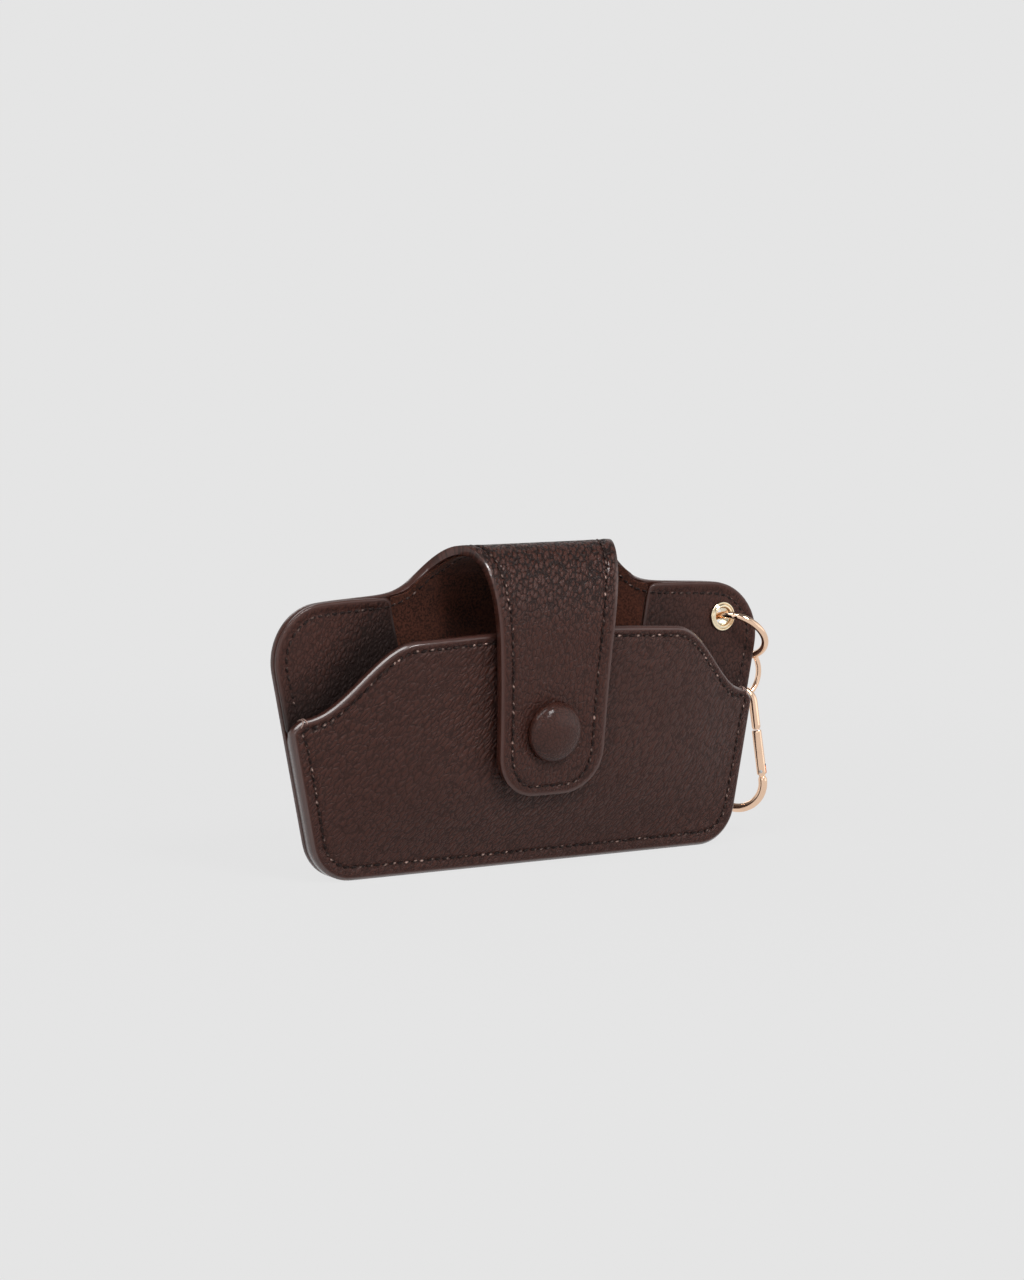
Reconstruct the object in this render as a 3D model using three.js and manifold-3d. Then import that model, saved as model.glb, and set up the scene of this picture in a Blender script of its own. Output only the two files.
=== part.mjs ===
import * as THREE from 'three';
import { mergeVertices } from 'three/addons/utils/BufferGeometryUtils.js';
import Module from 'manifold-3d';

// A leather glasses case that stands on its bottom edge: a back panel whose neck carries a strap,
// a bulged front pocket, a snap button on the strap, and a clip on rings at the right corner.
// Millimetres, x to the right, y to the back, z up. The origin is on the floor, in the middle of
// the back panel's bottom edge.

// Layers
const leather = 1.0;
const strapLeather = 1.2;
const board = 0.7;
const lining = 0.7;
const strapLining = 1.1;
const facing = 1.0;
const layerGap = 0.15;
const seatGap = 0.3;
const turnedEdge = 3;
const liningInset = 1;
const boardRoom = 0.6;

// Outline of the back panel
const footHalf = 76.6;
const sideFlare = 0.196;
const footRadius = 14;
const shoulderHeight = 85.3;
const neckHalf = 53;
const shoulderFall = 0.0456;
const shoulderRadius = 17.5;
const foldRise = 2.7;
const foldHalf = 41.5;
const facingWidth = 45;

// Form of the back panel
const leanAngle = THREE.MathUtils.degToRad(2.2);
const backBow = 4.8;
const bowReach = 89.5;
const bendDrop = 6.3;
const bendDepth = 17.2;
const bendHeight = 21.4;

// Front pocket
const mouthDrop = 10.6;
const mouthCrown = 1.7;
const mouthHalf = 47;
const mouthFlat = 8;
const mouthSideDrop = 23;
const mouthSideInset = 3.8;
const mouthLowHandle = 12;
const mouthLowRise = 0.5;
const mouthHighHandle = 14;
const pocketBelly = 7.8;
const pocketBellyShare = 0.241;
const pocketRise = 0.08;
const pocketFullness = 3.4;
const pocketRoll = 1.35;

// Strap
const strapGap = 0.6;
const strapHalf = 19.8;
const strapOffset = -1.7;
const strapTaper = 0.018;
const strapFlareLength = 19.5;
const strapLanding = 3;
const strapArchRear = 17;
const strapArchFront = 39;
const strapEndDrop = 50.5;
const strapEndRadius = 14;
const strapBowFade = 16;
const strapLiningInset = 0.6;
const stiffenerInset = 2.5;

// Snap button
const snapDrop = 31.2;
const snapCoverRadius = 9.4;
const snapCoverHeight = 4.2;
const snapCoverLeather = 0.8;
const snapSocketRadius = 5.7;
const snapSocketMouth = 3.7;
const snapSocketWall = 0.5;
const snapStudRadius = 2.3;
const snapStudNeck = 1.9;
const snapStudFlange = 3.4;
const snapStudFlangeThickness = 0.35;
const snapStudHeight = 1.6;
const snapRivetRadius = 1.0;
const snapRivetFlange = 4;
const snapRivetFlangeThickness = 0.6;
const snapPostRadius = 1.5;
const snapSpringWire = 0.5;
const snapSpringOpening = 0.35;
const crownRim = 0.4;
const crownRimRun = 1.1;

// Eyelet and rings
const eyeletDrop = 12.3;
const eyeletInset = 12.6;
const eyeletHole = 2.75;
const eyeletWall = 0.45;
const eyeletFlange = 4.7;
const eyeletFlangeThickness = 0.7;
const ringWire = 2.3;
const ringRoom = 2.6;
const ringTilt = THREE.MathUtils.degToRad(43);
const ringTurn = THREE.MathUtils.degToRad(25);
const connectorWire = 1.8;
const connectorRadius = 8.1;
const connectorYaw = THREE.MathUtils.degToRad(8);

// Clip
const clipWire = 2.9;
const clipLength = 42;
const clipFootRadius = 8.35;
const clipHeadRadius = 4.35;
const clipYaw = THREE.MathUtils.degToRad(-45);
const gateLength = 15.5;
const gateFoot = 1.2;
const gatePlay = 0.35;
const gateHeelGap = 0.75;
const gatePinRadius = 0.5;
const gatePinHeight = 1.9;
const gateTab = 1.1;
const gateTabReach = 1;
const gateSlotReach = 2.3;
const gateBoreRadius = 0.75;
const gatePlungerLength = 2;
const gateSpringLength = 5;
const gateBoreLength = 8;

// Facets
const panelColumns = [-1, -0.87, -0.66, -0.36, 0, 0.36, 0.66, 0.87, 1];
const facingColumns = [0, 0.33, 0.66, 1];
const strapColumns = [-1, -0.6, -0.2, 0.2, 0.6, 1];
const cornerSteps = 4;
const sideSteps = 4;
const curveSteps = 6;
const archSteps = 11;
const strapSteps = 4;
const crownSteps = 3;
const clipSideSteps = 3;
const pinSides = 10;
const cutLength = 30;
const slopeStep = 0.5;
const wireSides = 8;
const ringSteps = 24;
const roundSides = 20;

// Places that follow from the sizes
const wasm = await Module();
wasm.setup();
const lean = Math.tan(leanAngle);
const foldHeight = shoulderHeight + foldRise;
const mouthHeight = shoulderHeight - mouthDrop;
const bendStart = shoulderHeight - bendDrop;
const pocketBellyHeight = mouthHeight * pocketBellyShare;
const rimDepth = leather + board + 2 * layerGap;
const strapThickness = strapLeather + board + strapLining + 2 * layerGap;
const back = { rear: rimDepth / 2, front: -rimDepth / 2 };
const backLining = { rear: back.front - layerGap, front: back.front - layerGap - lining };
const cornerFacing = { rear: back.front - layerGap, front: back.front - layerGap - facing };
const frontLining = { rear: cornerFacing.front - layerGap, front: cornerFacing.front - layerGap - lining };
const front = { rear: frontLining.front - layerGap, front: frontLining.front - layerGap - rimDepth };

const point = (x, z) => new THREE.Vector2(x, z);
const sideAt = (z) => footHalf + sideFlare * z;
const facingEdgeAt = (z) => sideAt(z) - facingWidth;

// Points on the arc that rounds the corner between two straight edges
function roundCorner(before, corner, after, radius) {
  const back = before.clone().sub(corner).normalize();
  const ahead = after.clone().sub(corner).normalize();
  const half = Math.acos(back.dot(ahead)) / 2;
  const middle = back.clone().add(ahead).normalize();
  const centre = corner.clone().addScaledVector(middle, radius / Math.sin(half));
  const start = corner.clone().addScaledVector(back, radius / Math.tan(half));
  const arcStart = start.sub(centre).angle();
  const sweep = Math.PI - 2 * half;
  const points = [];
  for (let i = 0; i <= cornerSteps; i += 1) {
    const turn = arcStart + sweep * i / cornerSteps;
    points.push(point(centre.x + radius * Math.cos(turn), centre.y + radius * Math.sin(turn)));
  }
  return points;
}

// Points between two others, both left out
function between(from, to, steps) {
  const points = [];
  for (let i = 1; i < steps; i += 1) {
    points.push(from.clone().lerp(to, i / steps));
  }
  return points;
}

// Right half of an outline's lower part: the rounded foot corner
function footCorner() {
  const corner = point(footHalf, 0);
  return roundCorner(point(0, 0), corner, point(sideAt(footHalf), footHalf), footRadius);
}

// Right half of the back panel's outline, from the bottom edge up to the fold
function makeBackOutline() {
  const foot = footCorner();
  const neck = point(neckHalf, shoulderHeight);
  const topAt = (x) => shoulderHeight - shoulderFall * (x - neckHalf);
  const cornerX = (footHalf + sideFlare * topAt(0)) / (1 + sideFlare * shoulderFall);
  const corner = point(cornerX, topAt(cornerX));
  const shoulder = roundCorner(point(footHalf, 0), corner, neck, shoulderRadius);
  const side = between(foot.at(-1), shoulder[0], sideSteps);
  const top = between(shoulder.at(-1), neck, 2);
  const fold = point(foldHalf, foldHeight);
  const flare = (foldHalf - strapHalf) / strapFlareLength;
  const handle = point(foldHalf + flare * foldRise, shoulderHeight);
  const neckCurve = new THREE.QuadraticBezierCurve(neck, handle, fold);
  return [...foot, ...side, ...shoulder, ...top, ...neckCurve.getPoints(3)];
}

// Right half of the front pocket's outline, from the bottom edge up to the middle of the mouth
function makeFrontOutline() {
  const foot = footCorner();
  const sideTop = mouthHeight - mouthCrown - mouthSideDrop;
  const side = point(sideAt(sideTop - mouthSideInset), sideTop - mouthSideInset);
  const low = point(side.x - mouthSideInset, sideTop);
  const high = point(mouthHalf, mouthHeight - mouthCrown);
  const lowHandle = point(low.x - mouthLowHandle, low.y + mouthLowRise);
  const highHandle = point(mouthHalf + mouthHighHandle, high.y);
  const drop = new THREE.CubicBezierCurve(low, lowHandle, highHandle, high);
  const middle = point(mouthFlat, mouthHeight);
  const top = new THREE.QuadraticBezierCurve(high, point(mouthHalf / 2, mouthHeight), middle);
  const lower = [...foot, ...between(foot.at(-1), side, sideSteps), side];
  return [...lower, ...drop.getPoints(curveSteps), ...top.getPoints(curveSteps / 2).slice(1)];
}

// An outline moved inwards
function inset(outline, distance) {
  return outline.map((here, i) => {
    const before = outline[Math.max(i - 1, 0)];
    const after = outline[Math.min(i + 1, outline.length - 1)];
    const along = after.clone().sub(before).normalize();
    return point(here.x - along.y * distance, here.y + along.x * distance);
  });
}

// Half width of an outline at a height
function halfWidthAt(outline, z) {
  const i = outline.findIndex((here) => here.y >= z);
  if (i < 0) {
    return outline.at(-1).x;
  }
  if (i === 0) {
    return outline[0].x;
  }
  const share = (z - outline[i - 1].y) / (outline[i].y - outline[i - 1].y);
  return THREE.MathUtils.lerp(outline[i - 1].x, outline[i].x, share);
}

const backOutline = makeBackOutline();
const frontOutline = makeFrontOutline();

// Depth of the back panel's middle at a place: it leans back, bows out and bends forward at the neck
function backSurface(x, z) {
  const climb = THREE.MathUtils.clamp(z / bendStart, 0, 1) ** 1.5;
  const across = (1 - Math.min(Math.abs(x) / bowReach, 1) ** 2) ** 2;
  const bend = Math.max(z - bendStart, 0) / bendHeight;
  return lean * z + backBow * climb * across - bendDepth * (1 - Math.sqrt(1 - bend * bend));
}

// Depth of the front pocket's seam plane less its bulge
function frontSurface(x, z) {
  const belly = pocketBelly * (1 - Math.exp(-((z / pocketBellyHeight) ** 2)));
  const share = Math.min(Math.abs(x) / halfWidthAt(backOutline, z), 1);
  const across = (1 - share ** pocketFullness) ** pocketRoll;
  return lean * z - (belly + pocketRise * z) * across;
}

// A closed sheet of rows and columns between its near and far sides
function slab(rows, columns, place) {
  const positions = [];
  for (const side of [0, 1]) {
    for (let r = 0; r <= rows; r += 1) {
      for (let c = 0; c <= columns; c += 1) {
        positions.push(...place(r, c, side));
      }
    }
  }
  const at = (side, r, c) => (side * (rows + 1) + r) * (columns + 1) + c;
  const faces = [];
  const quad = (a, b, c, d) => faces.push(a, b, c, a, c, d);
  for (let r = 0; r < rows; r += 1) {
    for (let c = 0; c < columns; c += 1) {
      quad(at(0, r, c), at(0, r, c + 1), at(0, r + 1, c + 1), at(0, r + 1, c));
      quad(at(1, r, c), at(1, r + 1, c), at(1, r + 1, c + 1), at(1, r, c + 1));
    }
    quad(at(0, r, 0), at(0, r + 1, 0), at(1, r + 1, 0), at(1, r, 0));
    quad(at(0, r, columns), at(1, r, columns), at(1, r + 1, columns), at(0, r + 1, columns));
  }
  for (let c = 0; c < columns; c += 1) {
    quad(at(0, 0, c), at(1, 0, c), at(1, 0, c + 1), at(0, 0, c + 1));
    quad(at(0, rows, c), at(0, rows, c + 1), at(1, rows, c + 1), at(1, rows, c));
  }
  const geometry = new THREE.BufferGeometry();
  geometry.setAttribute('position', new THREE.Float32BufferAttribute(positions, 3));
  geometry.setIndex(faces);
  return geometry;
}

// A layer of a panel: rows run from a left to a right edge, at the surface's depth plus an offset
function panelLayer(rows, columns, surface, nearOffset, farOffset) {
  return slab(rows.length - 1, columns.length - 1, (r, c, side) => {
    const share = (columns[c] - columns[0]) / (columns.at(-1) - columns[0]);
    const x = THREE.MathUtils.lerp(rows[r].left, rows[r].right, share);
    return [x, surface(x, rows[r].z) + (side === 0 ? nearOffset : farOffset), rows[r].z];
  });
}

const mirrored = (outline) => outline.map((here) => ({ left: -here.x, right: here.x, z: here.y }));

// Joining and cutting of closed solids
function solid(geometry) {
  const bare = geometry.clone();
  bare.deleteAttribute('normal');
  bare.deleteAttribute('uv');
  const merged = mergeVertices(bare, 1e-5);
  const vertProperties = new Float32Array(merged.attributes.position.array);
  const triVerts = new Uint32Array(merged.index.array);
  return new wasm.Manifold(new wasm.Mesh({ numProp: 3, vertProperties, triVerts }));
}

function fromSolid(body) {
  const mesh = body.getMesh();
  const geometry = new THREE.BufferGeometry();
  geometry.setAttribute('position', new THREE.Float32BufferAttribute(mesh.vertProperties, 3));
  geometry.setIndex(new THREE.Uint32BufferAttribute(mesh.triVerts, 1));
  return geometry;
}

function cut(geometry, ...tools) {
  return fromSolid(tools.reduce((body, tool) => body.subtract(solid(tool)), solid(geometry)));
}

// Eyelet: its place in the right corner and the hole for it
const eyeletHeight = shoulderHeight - eyeletDrop;
const eyeletX = halfWidthAt(backOutline, eyeletHeight) - eyeletInset;
const eyeletPanel = backSurface(eyeletX, eyeletHeight);
const eyeletBarrel = eyeletHole + eyeletWall;
const eyeletNear = cornerFacing.front - seatGap;
const eyeletFar = back.rear + seatGap;

function eyeletCut() {
  const room = eyeletBarrel + seatGap;
  const tool = new THREE.CylinderGeometry(room, room, cutLength, roundSides);
  return tool.rotateX(-leanAngle).translate(eyeletX, eyeletPanel, eyeletHeight);
}

// Snap: its place on the pocket, and its axis, which points forwards out of the pocket
const snapHeight = mouthHeight - snapDrop;
const pocketFace = (z) => frontSurface(0, z) + front.front;
const pocketSlope = (z) => (pocketFace(z + slopeStep) - pocketFace(z - slopeStep)) / (2 * slopeStep);
const snapTurn = Math.PI - Math.atan(pocketSlope(snapHeight));
const snapMatrix = new THREE.Matrix4().makeRotationX(snapTurn);
snapMatrix.setPosition(strapOffset, pocketFace(snapHeight), snapHeight);

function snapCut(radius) {
  return new THREE.CylinderGeometry(radius, radius, cutLength, roundSides).applyMatrix4(snapMatrix);
}

// Strap path: the outer face in the plane of symmetry, from the fold over the mouth to the end
function strapFaceAt(z) {
  const out = point(-1, pocketSlope(z)).normalize();
  return point(pocketFace(z), z).addScaledVector(out, strapGap + strapThickness);
}

function strapRows(edgeInset) {
  const rootZ = foldHeight + seatGap;
  const rear = (z) => backSurface(0, z) + back.rear;
  const root = point(rear(rootZ), rootZ);
  const rootWay = point(rear(rootZ + slopeStep) - rear(rootZ - slopeStep), 2 * slopeStep).normalize();
  const landingZ = mouthHeight - strapLanding;
  const landing = strapFaceAt(landingZ);
  const landingWay = point(pocketSlope(landingZ), 1).normalize();
  const rearHandle = root.clone().addScaledVector(rootWay, strapArchRear);
  const frontHandle = landing.clone().addScaledVector(landingWay, strapArchFront);
  const arch = new THREE.CubicBezierCurve(root, rearHandle, frontHandle, landing);
  const rows = arch.getPoints(archSteps).map((face) => ({ face, roundOff: 0 }));
  const endZ = mouthHeight - strapEndDrop + edgeInset;
  const radius = strapEndRadius - edgeInset;
  for (let i = 1; i <= strapSteps; i += 1) {
    const z = THREE.MathUtils.lerp(landingZ, endZ + radius, i / strapSteps);
    rows.push({ face: strapFaceAt(z), roundOff: 0 });
  }
  for (let i = 1; i <= cornerSteps; i += 1) {
    const turn = (Math.PI / 2) * i / cornerSteps;
    const face = strapFaceAt(endZ + radius * (1 - Math.sin(turn)));
    rows.push({ face, roundOff: radius * (1 - Math.cos(turn)) });
  }
  let run = 0;
  rows.forEach((row, i) => {
    const before = rows[Math.max(i - 1, 0)].face;
    const after = rows[Math.min(i + 1, rows.length - 1)].face;
    run += row.face.distanceTo(before);
    const along = after.clone().sub(before).normalize();
    row.inward = i === 0 ? point(-1, 0) : point(-along.y, along.x);
    row.run = run;
    const flare = (foldHalf - strapHalf) * Math.exp(-run / strapFlareLength);
    row.half = strapHalf + flare - strapTaper * Math.max(run - strapFlareLength * 2, 0);
    row.half -= edgeInset + row.roundOff;
    row.shift = strapOffset * THREE.MathUtils.smoothstep(run, 0, strapFlareLength);
  });
  return rows;
}

// A layer of the strap between two depths under its outer face
function strapLayer(rows, nearDepth, farDepth) {
  return slab(rows.length - 1, strapColumns.length - 1, (r, c, side) => {
    const row = rows[r];
    const x = row.half * strapColumns[c] + row.shift;
    const depth = side === 0 ? farDepth : nearDepth;
    const fade = Math.max(1 - row.run / strapBowFade, 0) ** 2;
    const bow = (backSurface(x, foldHeight) - backSurface(0, foldHeight)) * fade;
    const y = row.face.x + row.inward.x * depth + bow;
    return [x, y, row.face.y + row.inward.y * depth];
  });
}

// Materials
function finish(color, roughness, metalness) {
  return new THREE.MeshStandardMaterial({ color, roughness, metalness });
}
const brownLeather = () => finish(0x3b2520, 0.5, 0);
const suede = () => finish(0x46261a, 0.95, 0);
const greyBoard = () => finish(0x8a8378, 0.9, 0);
const gold = () => finish(0xe0b67c, 0.2, 1);
const steel = () => finish(0xb8b8ba, 0.35, 1);

const glassesCase = new THREE.Group();

function addTo(group, name, geometry, material) {
  const mesh = new THREE.Mesh(geometry, material);
  mesh.name = name;
  group.add(mesh);
  return mesh;
}

// Back panel: leather with a turned edge round a board, a suede lining between two corner facings
function addBackPanel() {
  const whole = panelLayer(mirrored(backOutline), panelColumns, backSurface, back.front, back.rear);
  const hollow = mirrored(inset(backOutline, turnedEdge));
  const leatherFront = back.rear - leather;
  const recess = panelLayer(hollow, panelColumns, backSurface, back.front - facing, leatherFront);
  addTo(glassesCase, 'back_outer', cut(whole, recess, eyeletCut()), brownLeather());

  const boardRows = mirrored(inset(backOutline, turnedEdge + boardRoom));
  const boardRear = leatherFront - layerGap;
  const sheet = panelLayer(boardRows, panelColumns, backSurface, boardRear - board, boardRear);
  addTo(glassesCase, 'back_board', cut(sheet, eyeletCut()), greyBoard());

  const edge = inset(backOutline, liningInset);
  const liningRows = edge.map((here) => {
    const half = Math.min(here.x, facingEdgeAt(here.y) - seatGap);
    return { left: -half, right: half, z: here.y };
  });
  const suedeSheet = panelLayer(liningRows, panelColumns, backSurface, backLining.front, backLining.rear);
  addTo(glassesCase, 'back_lining', suedeSheet, suede());

  const facingRows = edge
    .map((here) => ({ left: facingEdgeAt(here.y), right: here.x, z: here.y }))
    .filter((row) => row.right - row.left > turnedEdge);
  const right = panelLayer(facingRows, facingColumns, backSurface, cornerFacing.front, cornerFacing.rear);
  addTo(glassesCase, 'corner_facing_right', cut(right, eyeletCut()), brownLeather());
  const leftRows = facingRows.map((row) => ({ left: -row.right, right: -row.left, z: row.z }));
  const leftColumns = facingColumns.map((share) => 1 - share).reverse();
  const left = panelLayer(leftRows, leftColumns, backSurface, cornerFacing.front, cornerFacing.rear);
  addTo(glassesCase, 'corner_facing_left', left, brownLeather());
}

// Front pocket: bulged leather with a turned edge round a board, and its lining
function addFrontPocket() {
  const post = snapRivetRadius + seatGap;
  const whole = panelLayer(mirrored(frontOutline), panelColumns, frontSurface, front.front, front.rear);
  const hollow = mirrored(inset(frontOutline, turnedEdge));
  const leatherRear = front.front + leather;
  const recess = panelLayer(hollow, panelColumns, frontSurface, leatherRear, front.rear + lining);
  addTo(glassesCase, 'front_outer', cut(whole, recess, snapCut(post)), brownLeather());

  const boardRows = mirrored(inset(frontOutline, turnedEdge + boardRoom));
  const boardFront = leatherRear + layerGap;
  const sheet = panelLayer(boardRows, panelColumns, frontSurface, boardFront, boardFront + board);
  addTo(glassesCase, 'front_board', cut(sheet, snapCut(post)), greyBoard());

  const liningRows = mirrored(inset(frontOutline, liningInset));
  const cloth = panelLayer(liningRows, panelColumns, frontSurface, frontLining.front, frontLining.rear);
  addTo(glassesCase, 'front_lining', cut(cloth, snapCut(post)), suede());
}

// Strap: leather, a stiffener in its front run and a lining
function addStrap() {
  const socket = snapSocketRadius + seatGap;
  const outer = strapLayer(strapRows(0), 0, strapLeather);
  addTo(glassesCase, 'strap_outer', cut(outer, snapCut(snapPostRadius + seatGap)), brownLeather());

  const stiffenerNear = strapLeather + layerGap;
  const frontRun = strapRows(stiffenerInset).slice(archSteps);
  const stiffener = strapLayer(frontRun, stiffenerNear, stiffenerNear + board);
  addTo(glassesCase, 'strap_stiffener', cut(stiffener, snapCut(socket)), greyBoard());

  const inner = strapLayer(strapRows(strapLiningInset), strapThickness - strapLining, strapThickness);
  addTo(glassesCase, 'strap_lining', cut(inner, snapCut(socket)), suede());
}

const turned = (profile) => new THREE.LatheGeometry(profile.map(([r, h]) => point(r, h)), roundSides);

// Snap button, in heights above the pocket's face along its axis
function addSnap() {
  const snap = new THREE.Group();
  snap.applyMatrix4(snapMatrix);
  glassesCase.add(snap);
  const strapIn = strapGap;
  const strapOut = strapGap + strapThickness;

  const studFoot = seatGap;
  const studTop = studFoot + snapStudHeight;
  const studBore = snapRivetRadius + seatGap;
  const flangeTop = studFoot + snapStudFlangeThickness;
  const bulge = (studTop + flangeTop) / 2;
  addTo(snap, 'snap_stud', turned([
    [studBore, studFoot],
    [snapStudFlange, studFoot],
    [snapStudFlange, flangeTop],
    [snapStudNeck, flangeTop],
    [snapStudRadius, bulge],
    [snapStudRadius, studTop - snapStudFlangeThickness],
    [snapStudNeck, studTop],
    [studBore, studTop],
    [studBore, studFoot],
  ]), gold());

  const pocketBack = front.front - frontLining.rear;
  const flangeFront = pocketBack - seatGap;
  addTo(snap, 'snap_stud_rivet', turned([
    [0, flangeFront - snapRivetFlangeThickness],
    [snapRivetFlange, flangeFront - snapRivetFlangeThickness],
    [snapRivetFlange, flangeFront],
    [snapRivetRadius, flangeFront],
    [snapRivetRadius, studTop],
    [0, studTop],
  ]), gold());

  const socketFoot = strapIn + layerGap;
  const socketTop = strapOut - strapLeather - layerGap;
  const postHole = snapPostRadius + seatGap;
  const grooveFoot = socketFoot + snapSocketWall;
  const grooveTop = socketTop - snapSocketWall;
  const grooveRadius = snapSocketRadius - snapSocketWall;
  addTo(snap, 'snap_socket', turned([
    [snapSocketMouth, socketFoot],
    [snapSocketRadius, socketFoot],
    [snapSocketRadius, socketTop],
    [postHole, socketTop],
    [postHole, grooveTop],
    [grooveRadius, grooveTop],
    [grooveRadius, grooveFoot],
    [snapSocketMouth, grooveFoot],
    [snapSocketMouth, socketFoot],
  ]), gold());

  const springRadius = grooveRadius - seatGap - snapSpringWire / 2;
  const spring = addTo(snap, 'snap_spring', springArc(springRadius), steel());
  spring.position.y = (grooveFoot + grooveTop) / 2;

  const coverFoot = strapOut + seatGap;
  const shellRadius = snapCoverRadius - snapCoverLeather - seatGap;
  const shellTop = coverFoot + snapCoverHeight - snapCoverLeather - seatGap;
  addTo(snap, 'snap_cap', turned(capProfile(shellRadius, coverFoot, shellTop, grooveTop)), gold());
  addTo(snap, 'snap_cap_cover', turned(coverProfile(coverFoot, shellRadius, shellTop)), brownLeather());
}

// The snap's spring: a ring of wire, open on one side
function springArc(radius) {
  const points = [];
  for (let i = 0; i <= roundSides; i += 1) {
    const turn = (2 * Math.PI - snapSpringOpening) * i / roundSides;
    points.push(new THREE.Vector3(radius * Math.cos(turn), 0, radius * Math.sin(turn)));
  }
  return wire(points, snapSpringWire / 2);
}

// A crowned disc with a rounded rim, as a profile from its rim's foot to the crown's middle
function crown(radius, foot, top) {
  const rim = (top - foot) * crownRim;
  const profile = [];
  for (let i = 0; i <= crownSteps; i += 1) {
    const turn = (Math.PI / 2) * i / crownSteps;
    profile.push([radius - rim * crownRimRun * (1 - Math.cos(turn)), foot + rim * Math.sin(turn)]);
  }
  const shoulder = profile.at(-1)[0];
  for (let i = 1; i <= crownSteps; i += 1) {
    const left = 1 - i / crownSteps;
    profile.push([shoulder * left, foot + rim + (top - foot - rim) * (1 - left ** 2)]);
  }
  return profile;
}

function capProfile(radius, foot, top, postFoot) {
  return [[0, postFoot], [snapPostRadius, postFoot], [snapPostRadius, foot], ...crown(radius, foot, top)];
}

function coverProfile(foot, shellRadius, shellTop) {
  const outside = crown(snapCoverRadius, foot, foot + snapCoverHeight);
  const inside = crown(shellRadius + seatGap, foot, shellTop + seatGap).reverse();
  return [...inside, ...outside];
}

// Round wire along points, as one closed tube
function wire(points, radius) {
  const corners = [];
  for (let i = 0; i < wireSides; i += 1) {
    const turn = 2 * Math.PI * i / wireSides;
    corners.push(point(radius * Math.cos(turn), radius * Math.sin(turn)));
  }
  const section = new THREE.Shape(corners);
  const route = new THREE.CatmullRomCurve3(points);
  const settings = { steps: points.length - 1, extrudePath: route, bevelEnabled: false };
  return new THREE.ExtrudeGeometry(section, settings);
}

// Eyelet through the corner, with a washer behind
function addEyelet() {
  const nose = eyeletNear - eyeletFlangeThickness;
  const tail = eyeletFar + eyeletFlangeThickness;
  const lip = eyeletFlangeThickness / 2;
  const eyelet = addTo(glassesCase, 'eyelet', turned([
    [eyeletHole, nose + lip],
    [eyeletHole + lip, nose],
    [eyeletFlange - lip, nose],
    [eyeletFlange, eyeletNear - lip],
    [eyeletFlange, eyeletNear],
    [eyeletBarrel, eyeletNear],
    [eyeletBarrel, tail],
    [eyeletHole, tail],
    [eyeletHole, nose + lip],
  ]), gold());
  const washer = addTo(glassesCase, 'eyelet_washer', turned([
    [eyeletBarrel + seatGap, eyeletFar],
    [eyeletFlange, eyeletFar],
    [eyeletFlange, tail],
    [eyeletBarrel + seatGap, tail],
    [eyeletBarrel + seatGap, eyeletFar],
  ]), gold());
  for (const piece of [eyelet, washer]) {
    piece.rotation.x = -leanAngle;
    piece.position.set(eyeletX, eyeletPanel, eyeletHeight);
  }
}

// Rings: the first passes through the eyelet and round the side edge, the second hangs on it
const ringRadius = (eyeletInset / Math.cos(ringTilt) + ringRoom) / 2;
const ringOut = new THREE.Vector3(Math.cos(ringTilt), 0, -Math.sin(ringTilt));
const ringUp = new THREE.Vector3(Math.sin(ringTilt), 0, Math.cos(ringTilt));
const ringFront = new THREE.Vector3(0, -Math.cos(ringTurn), 0).addScaledVector(ringUp, Math.sin(ringTurn));
const ringCentre = new THREE.Vector3(eyeletX, eyeletPanel + (eyeletNear + eyeletFar) / 2, eyeletHeight)
  .addScaledVector(ringOut, ringRadius);
const ringLowTurn = Math.atan2(-ringFront.z, -ringOut.z);
const ringLow = ringCentre.clone()
  .addScaledVector(ringOut, ringRadius * Math.cos(ringLowTurn))
  .addScaledVector(ringFront, ringRadius * Math.sin(ringLowTurn));
const connectorHang = connectorRadius - (ringWire + connectorWire) / 2 - seatGap;
const connectorCentre = ringLow.clone().add(new THREE.Vector3(0, 0, -connectorHang));
const clipPivot = connectorCentre.clone().add(new THREE.Vector3(0, 0, -connectorRadius));

function addRings() {
  const ringShape = new THREE.TorusGeometry(ringRadius, ringWire / 2, wireSides, ringSteps);
  const ring = addTo(glassesCase, 'eyelet_ring', ringShape, gold());
  const across = ringOut.clone().cross(ringFront);
  ring.quaternion.setFromRotationMatrix(new THREE.Matrix4().makeBasis(ringOut, ringFront, across));
  ring.position.copy(ringCentre);
  const connectorShape = new THREE.TorusGeometry(connectorRadius, connectorWire / 2, wireSides, ringSteps);
  const connector = addTo(glassesCase, 'connector_ring', connectorShape.rotateX(Math.PI / 2), gold());
  connector.rotation.z = connectorYaw;
  connector.position.copy(connectorCentre);
}

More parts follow.
